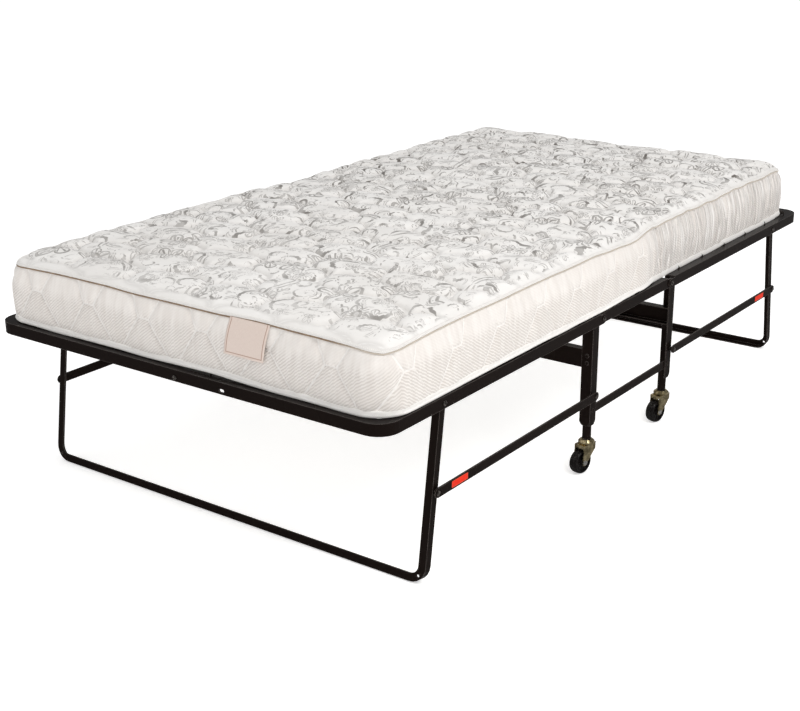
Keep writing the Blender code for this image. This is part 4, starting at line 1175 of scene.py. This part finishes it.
def make_camera():
    """The photograph's viewing angle, with no shift and no depth of field."""
    yaw, pitch, roll = (math.radians(a) for a in (CAMERA_YAW, CAMERA_PITCH, CAMERA_ROLL))
    ahead = Vector((-math.sin(yaw) * math.cos(pitch), math.cos(yaw) * math.cos(pitch), -math.sin(pitch)))
    right = ahead.cross(Vector((0, 0, 1))).normalized()
    up = right.cross(ahead)
    right, up = (math.cos(roll) * right + math.sin(roll) * up, math.cos(roll) * up - math.sin(roll) * right)
    data = bpy.data.cameras.new("camera")
    data.lens = CAMERA_LENS
    data.sensor_width = 36.0
    data.clip_start, data.clip_end = 0.05, 60.0
    camera = bpy.data.objects.new("camera", data)
    bpy.context.scene.collection.objects.link(camera)
    turn = Matrix((right, up, -ahead)).transposed().to_4x4()
    camera.matrix_world = Matrix.Translation(CAMERA_PLACE) @ turn
    bpy.context.scene.camera = camera


def area_light(name, place, target, size, power, colour=(1.0, 1.0, 1.0)):
    data = bpy.data.lights.new(name, "AREA")
    data.shape = "RECTANGLE"
    data.size, data.size_y = size
    data.energy = power
    data.color = colour
    light = bpy.data.objects.new(name, data)
    bpy.context.scene.collection.objects.link(light)
    light.location = place
    light.rotation_euler = (Vector(target) - Vector(place)).to_track_quat("-Z", "Y").to_euler()


def make_stage():
    """A pale floor, a white surround and soft lights."""
    bpy.ops.mesh.primitive_grid_add(x_subdivisions=2, y_subdivisions=2, size=60.0)
    floor = bpy.context.object
    floor.name = "studio_floor"
    floor.data.materials.append(pale_floor())
    world = bpy.context.scene.world or bpy.data.worlds.new("studio")
    bpy.context.scene.world = world
    world.use_nodes = True
    tree = world.node_tree
    background = tree.nodes["Background"]
    background.inputs[0].default_value = (1.0, 1.0, 1.0, 1.0)
    path = tree.nodes.new("ShaderNodeLightPath")
    gloss, level = (tree.nodes.new("ShaderNodeMapRange") for _ in range(2))
    gloss.inputs[3].default_value = WORLD_FOR_LIGHT
    gloss.inputs[4].default_value = WORLD_FOR_GLOSS
    level.inputs[4].default_value = WORLD_FOR_CAMERA
    tree.links.new(path.outputs["Is Glossy Ray"], gloss.inputs[0])
    tree.links.new(gloss.outputs[0], level.inputs[3])
    tree.links.new(path.outputs["Is Camera Ray"], level.inputs[0])
    tree.links.new(level.outputs[0], background.inputs[1])
    area_light("key_light", (2.35, -1.0, 3.05), (0.0, 0.0, 0.3), (1.6, 1.6), 53.0, (1.0, 0.982, 0.960))
    area_light("fill_light", (-2.6, -2.8, 2.0), (0.0, -0.2, 0.3), (2.4, 2.4), 8.0, (1.0, 0.985, 0.965))
    area_light("back_light", (-0.5, 3.2, 2.6), (0.0, 0.2, 0.3), (3.0, 1.6), 10.0)
    bpy.context.scene.view_settings.view_transform = "Standard"


# ---------------------------------------------------------------- the frame's own nodes

FRAME_BEVEL, FINE_BEVEL = 0.0011, 0.0003


def finish_cad_nodes():
    """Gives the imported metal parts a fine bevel, smooth shading and their finishes."""
    finishes = {
        "frame_enamel": enamel(),
        "caster_zinc": plated("caster_zinc", (0.19, 0.155, 0.085), (0.60, 0.51, 0.31), 0.24, 70.0),
        "wheel_black": wheel_plastic(),
        "bright_steel": plated("bright_steel", (0.42, 0.41, 0.39), (0.72, 0.70, 0.67), 0.26, 160.0),
        "deck_wire": plated("deck_wire", (0.36, 0.355, 0.34), (0.60, 0.59, 0.57), 0.34, 120.0),
    }
    rivet_finish = plated("rivet_head", (0.030, 0.026, 0.023), (0.34, 0.31, 0.29), 0.26, 240.0)
    slots = {part.get("node"): part.get("material_slot") for part in frame["record"]["subparts"]}
    for name, node in frame["nodes"].items():
        slot = slots.get(name)
        if slot not in finishes:
            continue
        is_rivet = "rivet" in name or name == "latch_stud"
        node.data.materials.clear()
        node.data.materials.append(rivet_finish if is_rivet else finishes[slot])
        node.data.shade_smooth()
        node.data.set_sharp_from_angle(angle=math.radians(35))
        bevel = node.modifiers.new("Fine bevel", "BEVEL")
        bevel.width = FRAME_BEVEL if slot == "frame_enamel" else FINE_BEVEL
        bevel.segments = 2
        bevel.limit_method = "ANGLE"
        bevel.angle_limit = math.radians(40)
        bevel.use_clamp_overlap = True
    return finishes


make_camera()
make_stage()
finishes = finish_cad_nodes()
make_mattress()
make_decks(finishes)
make_casters_and_stickers(finishes)
